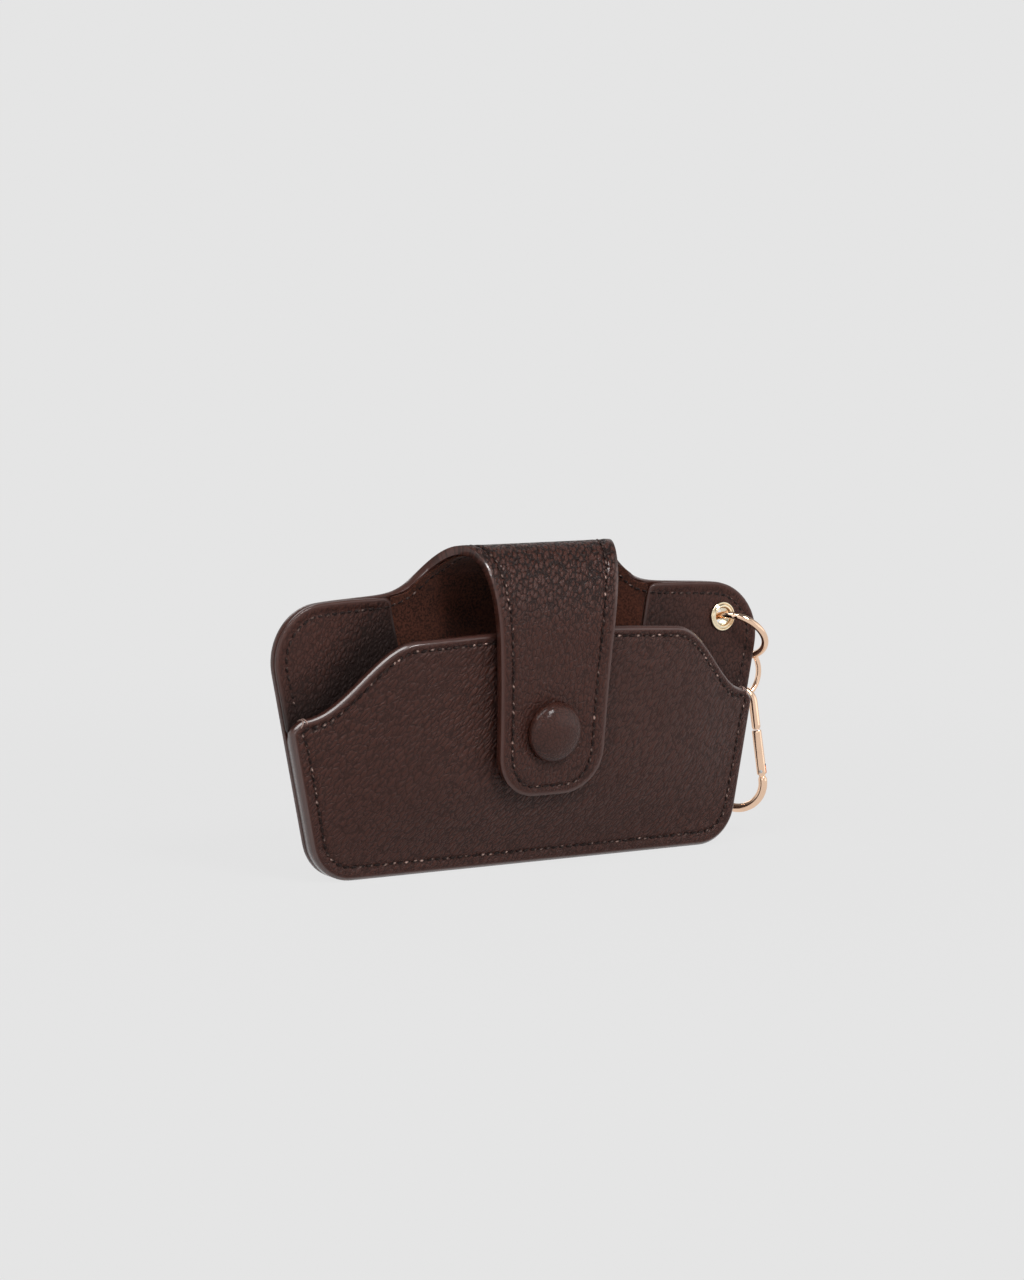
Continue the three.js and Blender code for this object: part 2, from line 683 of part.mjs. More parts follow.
// Clip: a teardrop of wire with a sprung gate in its right side, hung on the connector ring
function addClip() {
  const clip = new THREE.Group();
  clip.position.copy(clipPivot);
  clip.rotation.z = clipYaw;
  glassesCase.add(clip);
  const radius = clipWire / 2;
  const headTop = (connectorWire + clipWire) / 2 + seatGap;
  const headZ = headTop - clipHeadRadius;
  const footZ = headTop + clipWire - clipLength + clipFootRadius;
  const slant = Math.asin((clipFootRadius - clipHeadRadius) / (headZ - footZ));
  const onArc = (bow, z, turn) => new THREE.Vector3(bow * Math.cos(turn), 0, z + bow * Math.sin(turn));
  const onHead = (turn) => onArc(clipHeadRadius, headZ, turn);
  const onFoot = (turn) => onArc(clipFootRadius, footZ, turn);
  const up = new THREE.Vector3(-Math.sin(slant), 0, Math.cos(slant));
  const heel = onFoot(slant).addScaledVector(up, gateFoot);
  const gateTop = heel.clone().addScaledVector(up, gateLength);

  const points = [gateTop.clone().addScaledVector(up, gatePlay)];
  points.push(points[0].clone().lerp(onHead(slant), 1 / 2));
  const headSteps = 2 * cornerSteps;
  for (let i = 0; i <= headSteps; i += 1) {
    points.push(onHead(slant + (Math.PI - 2 * slant) * i / headSteps));
  }
  for (let i = 1; i < clipSideSteps; i += 1) {
    points.push(onHead(Math.PI - slant).lerp(onFoot(Math.PI - slant), i / clipSideSteps));
  }
  const footSteps = 3 * cornerSteps;
  for (let i = 0; i <= footSteps; i += 1) {
    points.push(onFoot(Math.PI - slant + (Math.PI + 2 * slant) * i / footSteps));
  }
  points.push(heel);
  const wireBody = wire(points, radius);

  // The gate's own frame: z up along the clip's right side, from the heel
  const side = new THREE.Matrix4().makeRotationY(-slant).setPosition(heel);
  const pinZ = gatePinHeight;
  const tabLength = pinZ + gateTabReach;
  const tab = new THREE.BoxGeometry(2 * gateTabReach, gateTab, tabLength + radius);
  tab.translate(0, 0, (tabLength - radius) / 2);
  const pinRoom = gatePinRadius + seatGap / 2;
  const pinHole = new THREE.CylinderGeometry(pinRoom, pinRoom, cutLength, pinSides).translate(0, 0, pinZ);
  const frame = solid(wireBody).add(solid(tab.applyMatrix4(side)));
  const hole = pinHole.clone().applyMatrix4(side);
  addTo(clip, 'clip_frame', fromSolid(frame.subtract(solid(hole))), gold());

  const gate = new THREE.Group();
  gate.applyMatrix4(side);
  clip.add(gate);
  const pin = new THREE.CylinderGeometry(gatePinRadius, gatePinRadius, clipWire, pinSides);
  addTo(gate, 'gate_pin', pin.translate(0, 0, pinZ), steel());

  const rod = new THREE.CylinderGeometry(radius, radius, gateLength - gateHeelGap, pinSides);
  rod.rotateX(Math.PI / 2).translate(0, 0, (gateLength + gateHeelGap) / 2);
  const slotTop = pinZ + gateSlotReach;
  const slot = new THREE.BoxGeometry(2 * clipWire, gateTab + 2 * seatGap, 2 * slotTop);
  const bore = new THREE.CylinderGeometry(gateBoreRadius, gateBoreRadius, gateBoreLength, pinSides);
  bore.rotateX(Math.PI / 2).translate(0, 0, slotTop + gateBoreLength / 2 - seatGap);
  addTo(gate, 'clip_gate', cut(rod, slot, pinHole, bore), gold());

  const plungerFoot = pinZ + Math.SQRT2 * gateTabReach + layerGap;
  const coreRadius = gateBoreRadius - seatGap;
  const plunger = new THREE.CylinderGeometry(coreRadius, coreRadius, gatePlungerLength, pinSides);
  plunger.rotateX(Math.PI / 2).translate(0, 0, plungerFoot + gatePlungerLength / 2);
  addTo(gate, 'gate_plunger', plunger, steel());
  const springFoot = plungerFoot + gatePlungerLength + layerGap;
  const spring = new THREE.CylinderGeometry(coreRadius, coreRadius, gateSpringLength, pinSides);
  spring.rotateX(Math.PI / 2).translate(0, 0, springFoot + gateSpringLength / 2);
  addTo(gate, 'gate_spring', spring, steel());
}

addBackPanel();
addFrontPocket();
addStrap();
addSnap();
addEyelet();
addRings();
addClip();

export default glassesCase;
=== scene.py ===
"""Glasses case: a leather slip pouch with a strap, a covered snap button and a clip on rings."""
import math

import bpy
import numpy as np
from bpy.props import FloatProperty, FloatVectorProperty, PointerProperty
from mathutils import Matrix, Vector


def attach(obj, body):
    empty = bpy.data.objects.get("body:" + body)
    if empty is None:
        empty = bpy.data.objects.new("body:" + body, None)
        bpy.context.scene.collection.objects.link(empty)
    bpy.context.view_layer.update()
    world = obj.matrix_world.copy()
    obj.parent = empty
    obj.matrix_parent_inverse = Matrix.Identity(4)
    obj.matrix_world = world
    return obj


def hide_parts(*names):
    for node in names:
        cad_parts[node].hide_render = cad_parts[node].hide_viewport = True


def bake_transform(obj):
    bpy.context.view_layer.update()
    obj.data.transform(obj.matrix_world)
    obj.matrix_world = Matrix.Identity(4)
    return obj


bl_info = {
    "name": "Glasses case",
    "version": (1, 0, 0),
    "blender": (4, 5, 0),
    "location": "3D View > Sidebar > Glasses case",
    "description": "Dresses the packed glasses case in leather, suede, thread and gold metal",
    "category": "Object",
}

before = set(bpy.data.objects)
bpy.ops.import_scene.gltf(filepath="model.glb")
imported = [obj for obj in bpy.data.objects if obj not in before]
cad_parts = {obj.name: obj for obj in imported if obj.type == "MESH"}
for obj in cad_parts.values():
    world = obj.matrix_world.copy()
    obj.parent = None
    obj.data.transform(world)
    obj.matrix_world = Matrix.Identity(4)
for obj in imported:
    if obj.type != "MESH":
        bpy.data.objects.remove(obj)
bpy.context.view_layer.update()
MM = 0.001

# The strap's root bends between two heights, and its pieces reach this far along the strap.
FOLD_REACH = 9 * MM
# Rings of faces along the edge of a leather pattern: where they are first made, and their widths.
RING_START = 0.01 * MM
RINGS = [1.2 * MM] + [0.6 * MM] * 8 + [1.4 * MM]
GRID_HALF = 86 * MM
FACING_TOP = 84.6 * MM
THREAD_SINK = 0.2 * MM
SNAP_DROP = 31.2 * MM
EYELET_DROP, EYELET_INSET, EYELET_HOLE = 12.3 * MM, 12.6 * MM, 3.4 * MM


def length(label, description, millimetres):
    """A size that a user can change, in metres."""
    return FloatProperty(
        name=label, description=description, default=millimetres * MM, precision=5, unit="LENGTH"
    )


def share(label, description, value):
    """A plain number that a user can change."""
    return FloatProperty(name=label, description=description, default=value, precision=4)


def turn(label, description, degrees):
    """An angle that a user can change."""
    return FloatProperty(
        name=label, description=description, default=math.radians(degrees), subtype="ANGLE"
    )


def colour(label, description, value):
    """A colour that a user can change."""
    return FloatVectorProperty(
        name=label, description=description, default=value, subtype="COLOR", size=3, min=0, max=1
    )


class CaseSizes(bpy.types.PropertyGroup):
    """Sizes of the case, the same as in the solid model."""

    foot_half: length("Foot half width", "Half the width at the bottom edge", 76.6)
    side_flare: share("Side flare", "How far the sides spread for each unit of height", 0.196)
    foot_radius: length("Foot radius", "Radius of the lower corners", 14)
    shoulder_height: length("Shoulder height", "Height of the back panel's top edge", 85.3)
    neck_half: length("Neck half width", "Where the top edge starts to rise to the strap", 53)
    shoulder_fall: share("Shoulder fall", "How far the top edge drops outwards", 0.0456)
    shoulder_radius: length("Shoulder radius", "Radius of the upper corners", 17.5)
    fold_rise: length("Fold rise", "Height of the fold over the shoulders", 2.7)
    fold_half: length("Fold half width", "Half the strap's width at the fold", 41.5)
    facing_width: length("Facing width", "Width of a corner facing", 45)
    lean: turn("Lean", "How far the case leans back", 2.2)
    back_bow: length("Back bow", "How far the back panel bows out", 4.8)
    bow_reach: length("Bow reach", "Half width of the back panel's bow", 89.5)
    bend_drop: length("Bend drop", "Where the neck starts to bend, under the shoulder", 6.3)
    bend_depth: length("Bend depth", "How far the neck bends forward", 17.2)
    bend_height: length("Bend height", "Height of the neck's bend", 21.4)
    mouth_drop: length("Mouth drop", "How far the mouth lies under the shoulder", 10.6)
    mouth_crown: length("Mouth crown", "How far the mouth rises in its middle", 1.7)
    mouth_half: length("Mouth half width", "Half the width of the mouth's high part", 47)
    mouth_flat: length("Mouth flat", "Half the width of the mouth's level part", 8)
    mouth_side_drop: length("Mouth side drop", "How far the mouth drops to the sides", 23)
    mouth_side_inset: length("Mouth side inset", "Corner where the mouth meets the side", 3.8)
    mouth_low_handle: length("Mouth low handle", "Roundness of the drop's lower end", 12)
    mouth_low_rise: length("Mouth low rise", "Rise of the drop's lower end", 0.5)
    mouth_high_handle: length("Mouth high handle", "Roundness of the drop's upper end", 14)
    pocket_belly: length("Pocket belly", "Depth of the pocket's bulge", 7.8)
    pocket_belly_share: share("Pocket belly share", "Height over which the bulge grows", 0.241)
    pocket_rise: share("Pocket rise", "How far the bulge grows for each unit of height", 0.08)
    pocket_fullness: share("Pocket fullness", "How flat the bulge is across its middle", 3.4)
    pocket_roll: share("Pocket roll", "How softly the bulge starts at the seams", 1.35)
    strap_gap: length("Strap gap", "Space between the strap and the pocket", 0.6)
    strap_thickness: length("Strap thickness", "Thickness of the strap", 3.3)
    strap_half: length("Strap half width", "Half the width of the strap", 19.8)
    strap_offset: length("Strap offset", "How far the strap stands from the middle", -1.7)
    strap_taper: share("Strap taper", "How much the strap narrows for each unit of length", 0.018)
    strap_flare: length("Strap flare", "Length over which the strap narrows from the fold", 19.5)
    strap_landing: length("Strap landing", "Where the strap meets the pocket, under the mouth", 3)
    strap_arch_rear: length("Strap arch rear", "Roundness of the arch behind", 17)
    strap_arch_front: length("Strap arch front", "Roundness of the arch in front", 39)
    strap_end_drop: length("Strap end drop", "How far the strap's end lies under the mouth", 50.5)
    strap_end_radius: length("Strap end radius", "Radius of the strap's end corners", 14)
    strap_bow_fade: length("Strap bow fade", "Length over which the strap flattens", 16)
    stitch_pitch: length("Stitch pitch", "Length from one stitch to the next", 2.7)


class CaseColours(bpy.types.PropertyGroup):
    """Colours of the case's finishes."""

    leather: colour("Leather", "The leather's middle tone", (0.056, 0.0176, 0.0117))
    leather_dark: colour("Leather shade", "The leather's darker clouds", (0.037, 0.011, 0.0073))
    # Lighter tone of the rubbed edges, which is partly a painted highlight.
    leather_wear_and_highlight: colour("Leather wear", "The leather's rubbed edges", (0.092, 0.034, 0.025))
    suede: colour("Suede", "The suede lining", (0.066, 0.0195, 0.0105))
    thread: colour("Thread", "The sewing thread", (0.009, 0.0035, 0.003))
    # Painted glints: the light specks on the stitches take this tone, and the corner tacks are
    # mixed towards it all along.
    thread_glint: colour("Thread crown", "The thread where it is rubbed", (0.60, 0.40, 0.34))
    gold: colour("Gold", "The rings' and the clip's plating", (0.93, 0.65, 0.47))
    pale_gold: colour("Pale gold", "The eyelet's plating", (0.88, 0.76, 0.55))
    steel: colour("Steel", "Pin and springs", (0.6, 0.6, 0.6))
    board: colour("Board", "The stiffening boards", (0.42, 0.38, 0.32))
    backdrop: colour("Backdrop", "The floor and the background", (0.783, 0.783, 0.783))


def smoothstep(value, low, high):
    """0 below low, 1 above high, and smooth between them."""
    t = np.clip((value - low) / (high - low), 0, 1)
    return t * t * (3 - 2 * t)


def unit(rows):
    """The same directions, each of length one."""
    return rows / np.linalg.norm(rows, axis=1)[:, None]


def runs_along(points):
    """Length of a line from its start to each of its points."""
    return np.concatenate([[0], np.cumsum(np.linalg.norm(np.diff(points, axis=0), axis=1))])


def soften(line, width):
    """A line with each point eased towards its neighbours, over a width in points."""
    kernel = np.hanning(width) / np.hanning(width).sum()
    padded = np.pad(line, ((width // 2, width // 2), (0, 0)), mode="edge")
    return np.stack([np.convolve(padded[:, i], kernel, "valid") for i in (0, 1)], 1)


def ahead_of(outline):
    """Direction along a closed outline at each of its points."""
    return unit(np.roll(outline, -1, axis=0) - np.roll(outline, 1, axis=0))


def into(outline):
    """Direction into a closed outline, square to its line, at each of its points."""
    ahead = ahead_of(outline)
    return np.stack([-ahead[:, 1], ahead[:, 0]], 1)


def bezier(points, steps):
    """Points along a Bezier curve, given its handles."""
    t = np.linspace(0, 1, steps)[:, None]
    rows = [np.array(point, float) for point in points]
    while len(rows) > 1:
        rows = [first * (1 - t) + second * t for first, second in zip(rows, rows[1:])]
    return rows[0]


def corner_arc(before, corner, after, radius, steps=14):
    """Points on the arc that rounds a corner between two straight edges."""
    corner = np.array(corner, float)
    back = np.array(before, float) - corner
    ahead = np.array(after, float) - corner
    back /= np.linalg.norm(back)
    ahead /= np.linalg.norm(ahead)
    half = math.acos(back @ ahead) / 2
    middle = (back + ahead) / np.linalg.norm(back + ahead)
    centre = corner + middle * radius / math.sin(half)
    first = corner + back * radius / math.tan(half) - centre
    last = corner + ahead * radius / math.tan(half) - centre
    start = math.atan2(first[1], first[0])
    sweep = (math.atan2(last[1], last[0]) - start + math.pi) % (2 * math.pi) - math.pi
    turns = start + sweep * np.linspace(0, 1, steps)
    return centre + radius * np.stack([np.cos(turns), np.sin(turns)], 1)


def resample(points, step, closed=False):
    """The same line with points an even step apart."""
    points = np.array(points, float)
    if closed:
        points = np.vstack([points, points[:1]])
    runs = runs_along(points)
    count = max(int(round(runs[-1] / step)), 2)
    at = np.linspace(0, runs[-1], count + 1)
    line = np.stack([np.interp(at, runs, points[:, i]) for i in range(points.shape[1])], 1)
    return line[:-1] if closed else line


def mirror_line(right):
    """A closed outline from its right half, which runs from the bottom edge to the top."""
    left = right[::-1] * np.array([-1, 1])
    return np.vstack([right, left])


def edge_distance(outline, places):
    """Distance from each place to a closed outline, and how far along it the nearest point is."""
    start = outline
    step = np.roll(outline, -1, axis=0) - start
    lengths = np.linalg.norm(step, axis=1)
    runs = np.concatenate([[0], np.cumsum(lengths)[:-1]])
    nearest = np.full(len(places), np.inf)
    along = np.zeros(len(places))
    for i in range(len(outline)):
        if lengths[i] < 1e-9:
            continue
        offset = places - start[i]
        t = np.clip(offset @ step[i] / lengths[i] ** 2, 0, 1)
        far = np.linalg.norm(offset - t[:, None] * step[i], axis=1)
        closer = far < nearest
        nearest[closer] = far[closer]
        along[closer] = runs[i] + t[closer] * lengths[i]
    return nearest, along


class CaseForm:
    """The case's outlines and surfaces, worked out from its sizes as in the solid model."""

    def __init__(self, s):
        self.s = s
        self.slope = math.tan(s.lean)
        self.fold = s.shoulder_height + s.fold_rise
        self.mouth = s.shoulder_height - s.mouth_drop
        self.bend_start = s.shoulder_height - s.bend_drop
        self.belly_height = self.mouth * s.pocket_belly_share
        self.side_top = self.mouth - s.mouth_crown - s.mouth_side_drop
        self.rear = 1.0 * MM
        self.front_face = -5.15 * MM
        self.back_half = self.make_back_half()
        self.strap_root = self.fold + 0.3 * MM
        self.make_strap_path()

    def side(self, z):
        return self.s.foot_half + self.s.side_flare * z

    def facing_edge(self, z):
        return self.side(z) - self.s.facing_width

    def foot(self):
        s = self.s
        return corner_arc((0, 0), (s.foot_half, 0), (self.side(0.1), 0.1), s.foot_radius)

    def make_back_half(self):
        s = self.s
        top = lambda x: s.shoulder_height - s.shoulder_fall * (x - s.neck_half)
        corner_x = (s.foot_half + s.side_flare * top(0)) / (1 + s.side_flare * s.shoulder_fall)
        neck = (s.neck_half, s.shoulder_height)
        shoulder = corner_arc((s.foot_half, 0), (corner_x, top(corner_x)), neck, s.shoulder_radius)
        flare = (s.fold_half - s.strap_half) / s.strap_flare
        handle = (s.fold_half + flare * s.fold_rise, s.shoulder_height)
        neck_curve = bezier([neck, handle, (s.fold_half, self.fold)], 9)
        return np.vstack([self.foot(), shoulder, neck_curve])

    def front_half(self):
        s = self.s
        side_top = self.side_top
        side_z = side_top - s.mouth_side_inset
        side = np.array([self.side(side_z), side_z])
        low = np.array([side[0] - s.mouth_side_inset, side_top])
        corner = np.array([side[0] + s.side_flare * s.mouth_side_inset, side_top])
        notch = bezier([side, (side + low) / 2 * 0.8 + corner * 0.2, low], 8)
        high = np.array([s.mouth_half, self.mouth - s.mouth_crown])
        low_handle = low + [-s.mouth_low_handle, s.mouth_low_rise]
        drop = bezier([low, low_handle, high + [s.mouth_high_handle, 0], high], 40)
        top = bezier([high, (s.mouth_half / 2, self.mouth), (s.mouth_flat, self.mouth)], 12)
        return np.vstack([self.foot(), notch, drop[1:], top[1:]])

    def half_width(self, z):
        return np.interp(z, self.back_half[:, 1], self.back_half[:, 0])

    def back(self, x, z):
        s = self.s
        climb = np.clip(z / self.bend_start, 0, 1) ** 1.5
        across = (1 - np.minimum(np.abs(x) / s.bow_reach, 1) ** 2) ** 2
        bend = np.clip(z - self.bend_start, 0, None) / s.bend_height
        forward = s.bend_depth * (1 - np.sqrt(np.clip(1 - bend * bend, 0, 1)))
        return self.slope * z + s.back_bow * climb * across - forward

    def front(self, x, z):
        s = self.s
        belly = s.pocket_belly * (1 - np.exp(-((z / self.belly_height) ** 2)))
        out = np.minimum(np.abs(x) / self.half_width(z), 1)
        across = (1 - out ** s.pocket_fullness) ** s.pocket_roll
        return self.slope * z - (belly + s.pocket_rise * z) * across

    def pocket_face(self, z):
        return self.front(np.zeros_like(z), z) + self.front_face

    def pocket_slope(self, z):
        step = 0.5 * MM
        return (self.pocket_face(z + step) - self.pocket_face(z - step)) / (2 * step)

    def strap_face(self, z):
        slope = self.pocket_slope(z)
        out = np.stack([-np.ones_like(z), slope], -1) / np.sqrt(1 + slope ** 2)[..., None]
        reach = self.s.strap_gap + self.s.strap_thickness
        return np.stack([self.pocket_face(z), z], -1) + out * reach

    def make_strap_path(self):
        """The strap's outer face in the plane of symmetry, by its run from the fold."""
        s = self.s
        step = 0.5 * MM
        rear = lambda z: float(self.back(np.zeros(1), np.array([z]))[0]) + self.rear
        root = np.array([rear(self.strap_root), self.strap_root])
        way = np.array([rear(self.strap_root + step) - rear(self.strap_root - step), 2 * step])
        landing_z = np.array(self.mouth - s.strap_landing)
        landing = self.strap_face(landing_z)
        up = np.array([float(self.pocket_slope(landing_z)), 1.0])
        rear_handle = root + way / np.linalg.norm(way) * s.strap_arch_rear
        front_handle = landing + up / np.linalg.norm(up) * s.strap_arch_front
        arch = bezier([root, rear_handle, front_handle, landing], 120)
        down = np.linspace(float(landing_z), self.mouth - s.strap_end_drop, 80)
        path = resample(np.vstack([arch, self.strap_face(down)[1:]]), 0.5 * MM)
        along = unit(soften(unit(np.gradient(path, axis=0)), 13))
        self.path = path
        self.path_in = np.stack([-along[:, 1], along[:, 0]], 1)
        self.path_run = runs_along(path)
        self.strap_end = self.strap_root + self.path_run[-1]

    def run_at(self, height):
        """Run along the strap at which its front comes down to a height."""
        top = self.path[:, 1].argmax()
        return np.interp(-height, -self.path[top:, 1], self.path_run[top:])

    def strap_width(self, run):
        s = self.s
        flare = (s.fold_half - s.strap_half) * np.exp(-run / s.strap_flare)
        return s.strap_half + flare - s.strap_taper * np.maximum(run - 2 * s.strap_flare, 0)

    def strap_half_line(self, inset=0.0):
        """Right edge of the strap and its end, in pattern measures."""
        s = self.s
        radius = s.strap_end_radius - inset
        end = self.strap_end - inset
        runs = np.linspace(0, end - self.strap_root, 60)
        line = np.stack([self.strap_width(runs) - inset, runs + self.strap_root], 1)
        line = line[line[:, 1] < end - radius]
        half = float(self.strap_width(np.array(end - radius - self.strap_root))) - inset
        turns = np.linspace(0, math.pi / 2, 16)
        across, down = 1 - np.cos(turns), 1 - np.sin(turns)
        arc = np.stack([half - radius * across, end - radius * down], 1)
        return np.vstack([line, arc])

    def outer(self, u, v, depth=0.0):
        """The back panel's and the strap's outer face, or a depth under it."""
        depth = np.broadcast_to(np.asarray(depth, float), u.shape)
        run = np.clip(v - self.strap_root, 0, self.path_run[-1])
        face = [np.interp(run, self.path_run, self.path[:, i]) for i in (0, 1)]
        inward = [np.interp(run, self.path_run, self.path_in[:, i]) for i in (0, 1)]
        # At the strap's root the depth runs straight forward, as it does on the back panel.
        root = 1 - smoothstep(run, 0, 8 * MM)
        inward = [inward[0] * (1 - root) - root, inward[1] * (1 - root)]
        fade = np.clip(1 - run / self.s.strap_bow_fade, 0, 1) ** 2
        fold = np.full_like(u, self.fold)
        bow = (self.back(u, fold) - self.back(np.zeros_like(u), fold)) * fade
        shift = self.s.strap_offset * smoothstep(run, 0, self.s.strap_flare)
        on_strap = np.stack(
            [u + shift, face[0] + inward[0] * depth + bow, face[1] + inward[1] * depth], 1
        )
        rear = self.back(u, np.minimum(v, self.strap_root)) + self.rear - depth
        on_back = np.stack([u, rear, v], 1)
        return np.where((v > self.strap_root)[:, None], on_strap, on_back)

    def pocket(self, u, v, depth=0.0):
        """The front pocket's outer face, or a depth under it."""
        return np.stack([u, self.front(u, v) + self.front_face + depth, v], 1)


# Modelling helpers

def start_piece(name):
    """Names the object that an operator has just added."""
    piece = bpy.context.object
    piece.name = name
    piece.data.name = name
    return piece


def deselect():
    if bpy.context.object and bpy.context.object.mode != "OBJECT":
        bpy.ops.object.mode_set(mode="OBJECT")
    bpy.ops.object.select_all(action="DESELECT")


def make_active(piece):
    deselect()
    piece.select_set(True)
    bpy.context.view_layer.objects.active = piece


def edit(piece, mode="FACE"):
    make_active(piece)
    bpy.ops.object.mode_set(mode="EDIT")
    bpy.ops.mesh.select_mode(type=mode)
    bpy.ops.mesh.select_all(action="SELECT")


def object_mode():
    bpy.ops.object.mode_set(mode="OBJECT")


def corners(piece):
    co = np.zeros(len(piece.data.vertices) * 3)
    piece.data.vertices.foreach_get("co", co)
    return co.reshape(-1, 3)


def set_corners(piece, co):
    piece.data.vertices.foreach_set("co", np.ascontiguousarray(co, float).ravel())
    piece.data.update()


def note(piece, name, values):
    """Keeps a number for each corner of a mesh."""
    kept = piece.data.attributes.get(name) or piece.data.attributes.new(name, "FLOAT", "POINT")
    kept.data.foreach_set("value", np.asarray(values, np.float32))


def noted(piece, name):
    values = np.zeros(len(piece.data.vertices), np.float32)
    piece.data.attributes[name].data.foreach_get("value", values)
    return values


def apply(piece, kind, **settings):
    """Adds a modifier with its settings and applies it."""
    make_active(piece)
    modifier = piece.modifiers.new(kind.lower(), kind)
    for name, value in settings.items():
        setattr(modifier, name, value)
    bpy.ops.object.modifier_apply(modifier=modifier.name)


def smooth(piece, degrees=60):
    make_active(piece)
    bpy.ops.object.shade_smooth_by_angle(angle=math.radians(degrees))


def outward(piece):
    """Turns a closed mesh's faces outwards."""
    edit(piece)
    bpy.ops.mesh.normals_make_consistent(inside=False)
    object_mode()


def place(piece, matrix):
    """Moves a mesh by a matrix and leaves its object at the origin."""
    piece.matrix_world = matrix
    make_active(piece)
    bpy.ops.object.transform_apply(location=True, rotation=True, scale=True)


def axes_to(x, y, z):
    """The turn that brings the axes to these directions."""
    return Matrix((x, y, z)).transposed().to_4x4()


def gathered_ring(outline, inset):
    """An outline moved inwards, with the points that would cross gathered into one corner."""
    moved = outline + into(outline) * inset
    far, _ = edge_distance(outline, moved)
    good = np.flatnonzero(far >= inset * 0.985)
    count = len(outline)
    for first, last in zip(good, np.roll(good, -1)):
        past = last + (count if last <= first else 0)
        moved[np.arange(first + 1, past) % count] = (moved[first] + moved[last]) / 2
    return moved


def flat_pattern(name, outline, rings, columns, rows, cuts=()):
    """A flat sheet cut to an outline: rings of faces follow its edge, and a grid fills it."""
    deselect()
    bpy.ops.mesh.primitive_circle_add(vertices=len(outline), fill_type="NGON")
    piece = start_piece(name)
    set_corners(piece, np.column_stack([outline, np.zeros(len(outline))]))
    edit(piece)
    for _ in rings:
        bpy.ops.mesh.inset(thickness=RING_START, use_even_offset=True)
    object_mode()
    spread_rings(piece, outline, np.cumsum(rings))
    edit(piece)
    bpy.ops.mesh.remove_doubles(threshold=1e-6)
    bpy.ops.mesh.select_all(action="DESELECT")
    object_mode()
    middle = max(piece.data.polygons, key=lambda face: len(face.vertices))
    middle.select = True
    bpy.ops.object.mode_set(mode="EDIT")
    bpy.ops.mesh.hide(unselected=True)
    if len(cuts):
        apart = 0.8 * MM
        rows = rows[(rows < min(cuts) - apart) | (rows > max(cuts) + apart)]
    for way, places in (((1, 0, 0), columns), ((0, 1, 0), rows)):
        for at in places:
            bpy.ops.mesh.select_all(action="SELECT")
            bpy.ops.mesh.bisect(plane_co=Vector(way) * at, plane_no=way)
    bpy.ops.mesh.reveal()
    for at in cuts:
        bpy.ops.mesh.select_all(action="SELECT")
        bpy.ops.mesh.bisect(plane_co=(0, at, 0), plane_no=(0, 1, 0))
    object_mode()
    return piece


def spread_rings(piece, outline, insets):
    """Moves the rings of a new pattern to their distances from its edge."""
    co = corners(piece)
    far, _ = edge_distance(outline, co[:, :2])
    ring = np.rint(far / RING_START).astype(int)
    nearest = np.array([np.argmin(((outline - place) ** 2).sum(1)) for place in co[:, :2]])
    for number, inset in enumerate(insets, 1):
        chosen = ring == number
        co[chosen, :2] = gathered_ring(outline, inset)[nearest[chosen]]
    set_corners(piece, co)


def face_away(piece, from_point):
    """Flips a sheet whose faces point towards a point that is behind it."""
    centres = np.array([face.center for face in piece.data.polygons])
    normals = np.array([face.normal for face in piece.data.polygons])
    areas = np.array([face.area for face in piece.data.polygons])
    towards = ((centres - np.array(from_point)) * normals).sum(1)
    if (towards * areas).sum() < 0:
        edit(piece)
        bpy.ops.mesh.flip_normals()
        object_mode()


def rim_edges(piece):
    """The pairs of corners at the ends of a sheet's border edges."""
    count = {}
    for face in piece.data.polygons:
        for pair in face.edge_keys:
            count[pair] = count.get(pair, 0) + 1
    return [pair for pair, faces in count.items() if faces == 1]


def thicken(piece, depth, weights, rim_round, segments=4, way=None, profile=0.5):
    """Gives a sheet its thickness, along its normals or one way, and rounds its rim."""
    inner_share = 0.3
    border = rim_edges(piece)
    front = len(piece.data.vertices)
    share = {tuple(sorted(pair)): 1.0 for pair in border}
    share.update({tuple(sorted((a + front, b + front))): inner_share for a, b in border})
    group = piece.vertex_groups.new(name="thickness")
    for index, weight in enumerate(weights):
        group.add([index], float(weight), "REPLACE")
    apply(piece, "SOLIDIFY", thickness=depth, offset=-1, vertex_group="thickness")
    if way is not None:
        co = corners(piece)
        co[front:] = co[:front] + np.outer(weights * depth, way)
        set_corners(piece, co)
    bevels = piece.data.attributes.new("bevel_weight_edge", "FLOAT", "EDGE")
    for edge in piece.data.edges:
        bevels.data[edge.index].value = share.get(tuple(sorted(edge.vertices)), 0.0)
    apply(
        piece, "BEVEL", width=rim_round, segments=segments,
        limit_method="WEIGHT", harden_normals=False, profile=profile,
    )


def grid_lines(low, high, step):
    count = max(int(round((high - low) / step)), 1)
    return np.linspace(low, high, count + 1)[1:-1]


def offset_line(outline, insets):
    """A closed outline moved inwards, without the loops that tight corners would make."""
    moved = outline + into(outline) * insets[:, None]
    far, _ = edge_distance(outline, moved)
    return moved[far >= insets * 0.93]


def turned(name, profile, steps=64):
    """A closed profile of radii and heights, spun round the Z axis."""
    deselect()
    bpy.ops.mesh.primitive_circle_add(vertices=len(profile), fill_type="NOTHING")
    piece = start_piece(name)
    profile = np.array(profile, float)
    set_corners(piece, np.column_stack([profile[:, 0], np.zeros(len(profile)), profile[:, 1]]))
    edit(piece, "VERT")
    bpy.ops.mesh.spin(steps=steps, angle=2 * math.pi, center=(0, 0, 0), axis=(0, 0, 1))
    bpy.ops.mesh.select_all(action="SELECT")
    bpy.ops.mesh.remove_doubles(threshold=1e-6)
    bpy.ops.mesh.normals_make_consistent(inside=False)
    object_mode()
    return piece


def turned_piece(name, profile, steps, where, degrees=50):
    """A turned piece from a profile in millimetres, in its place."""
    piece = turned(name, np.array(profile) * MM, steps)
    place(piece, where)
    smooth(piece, degrees)
    return piece


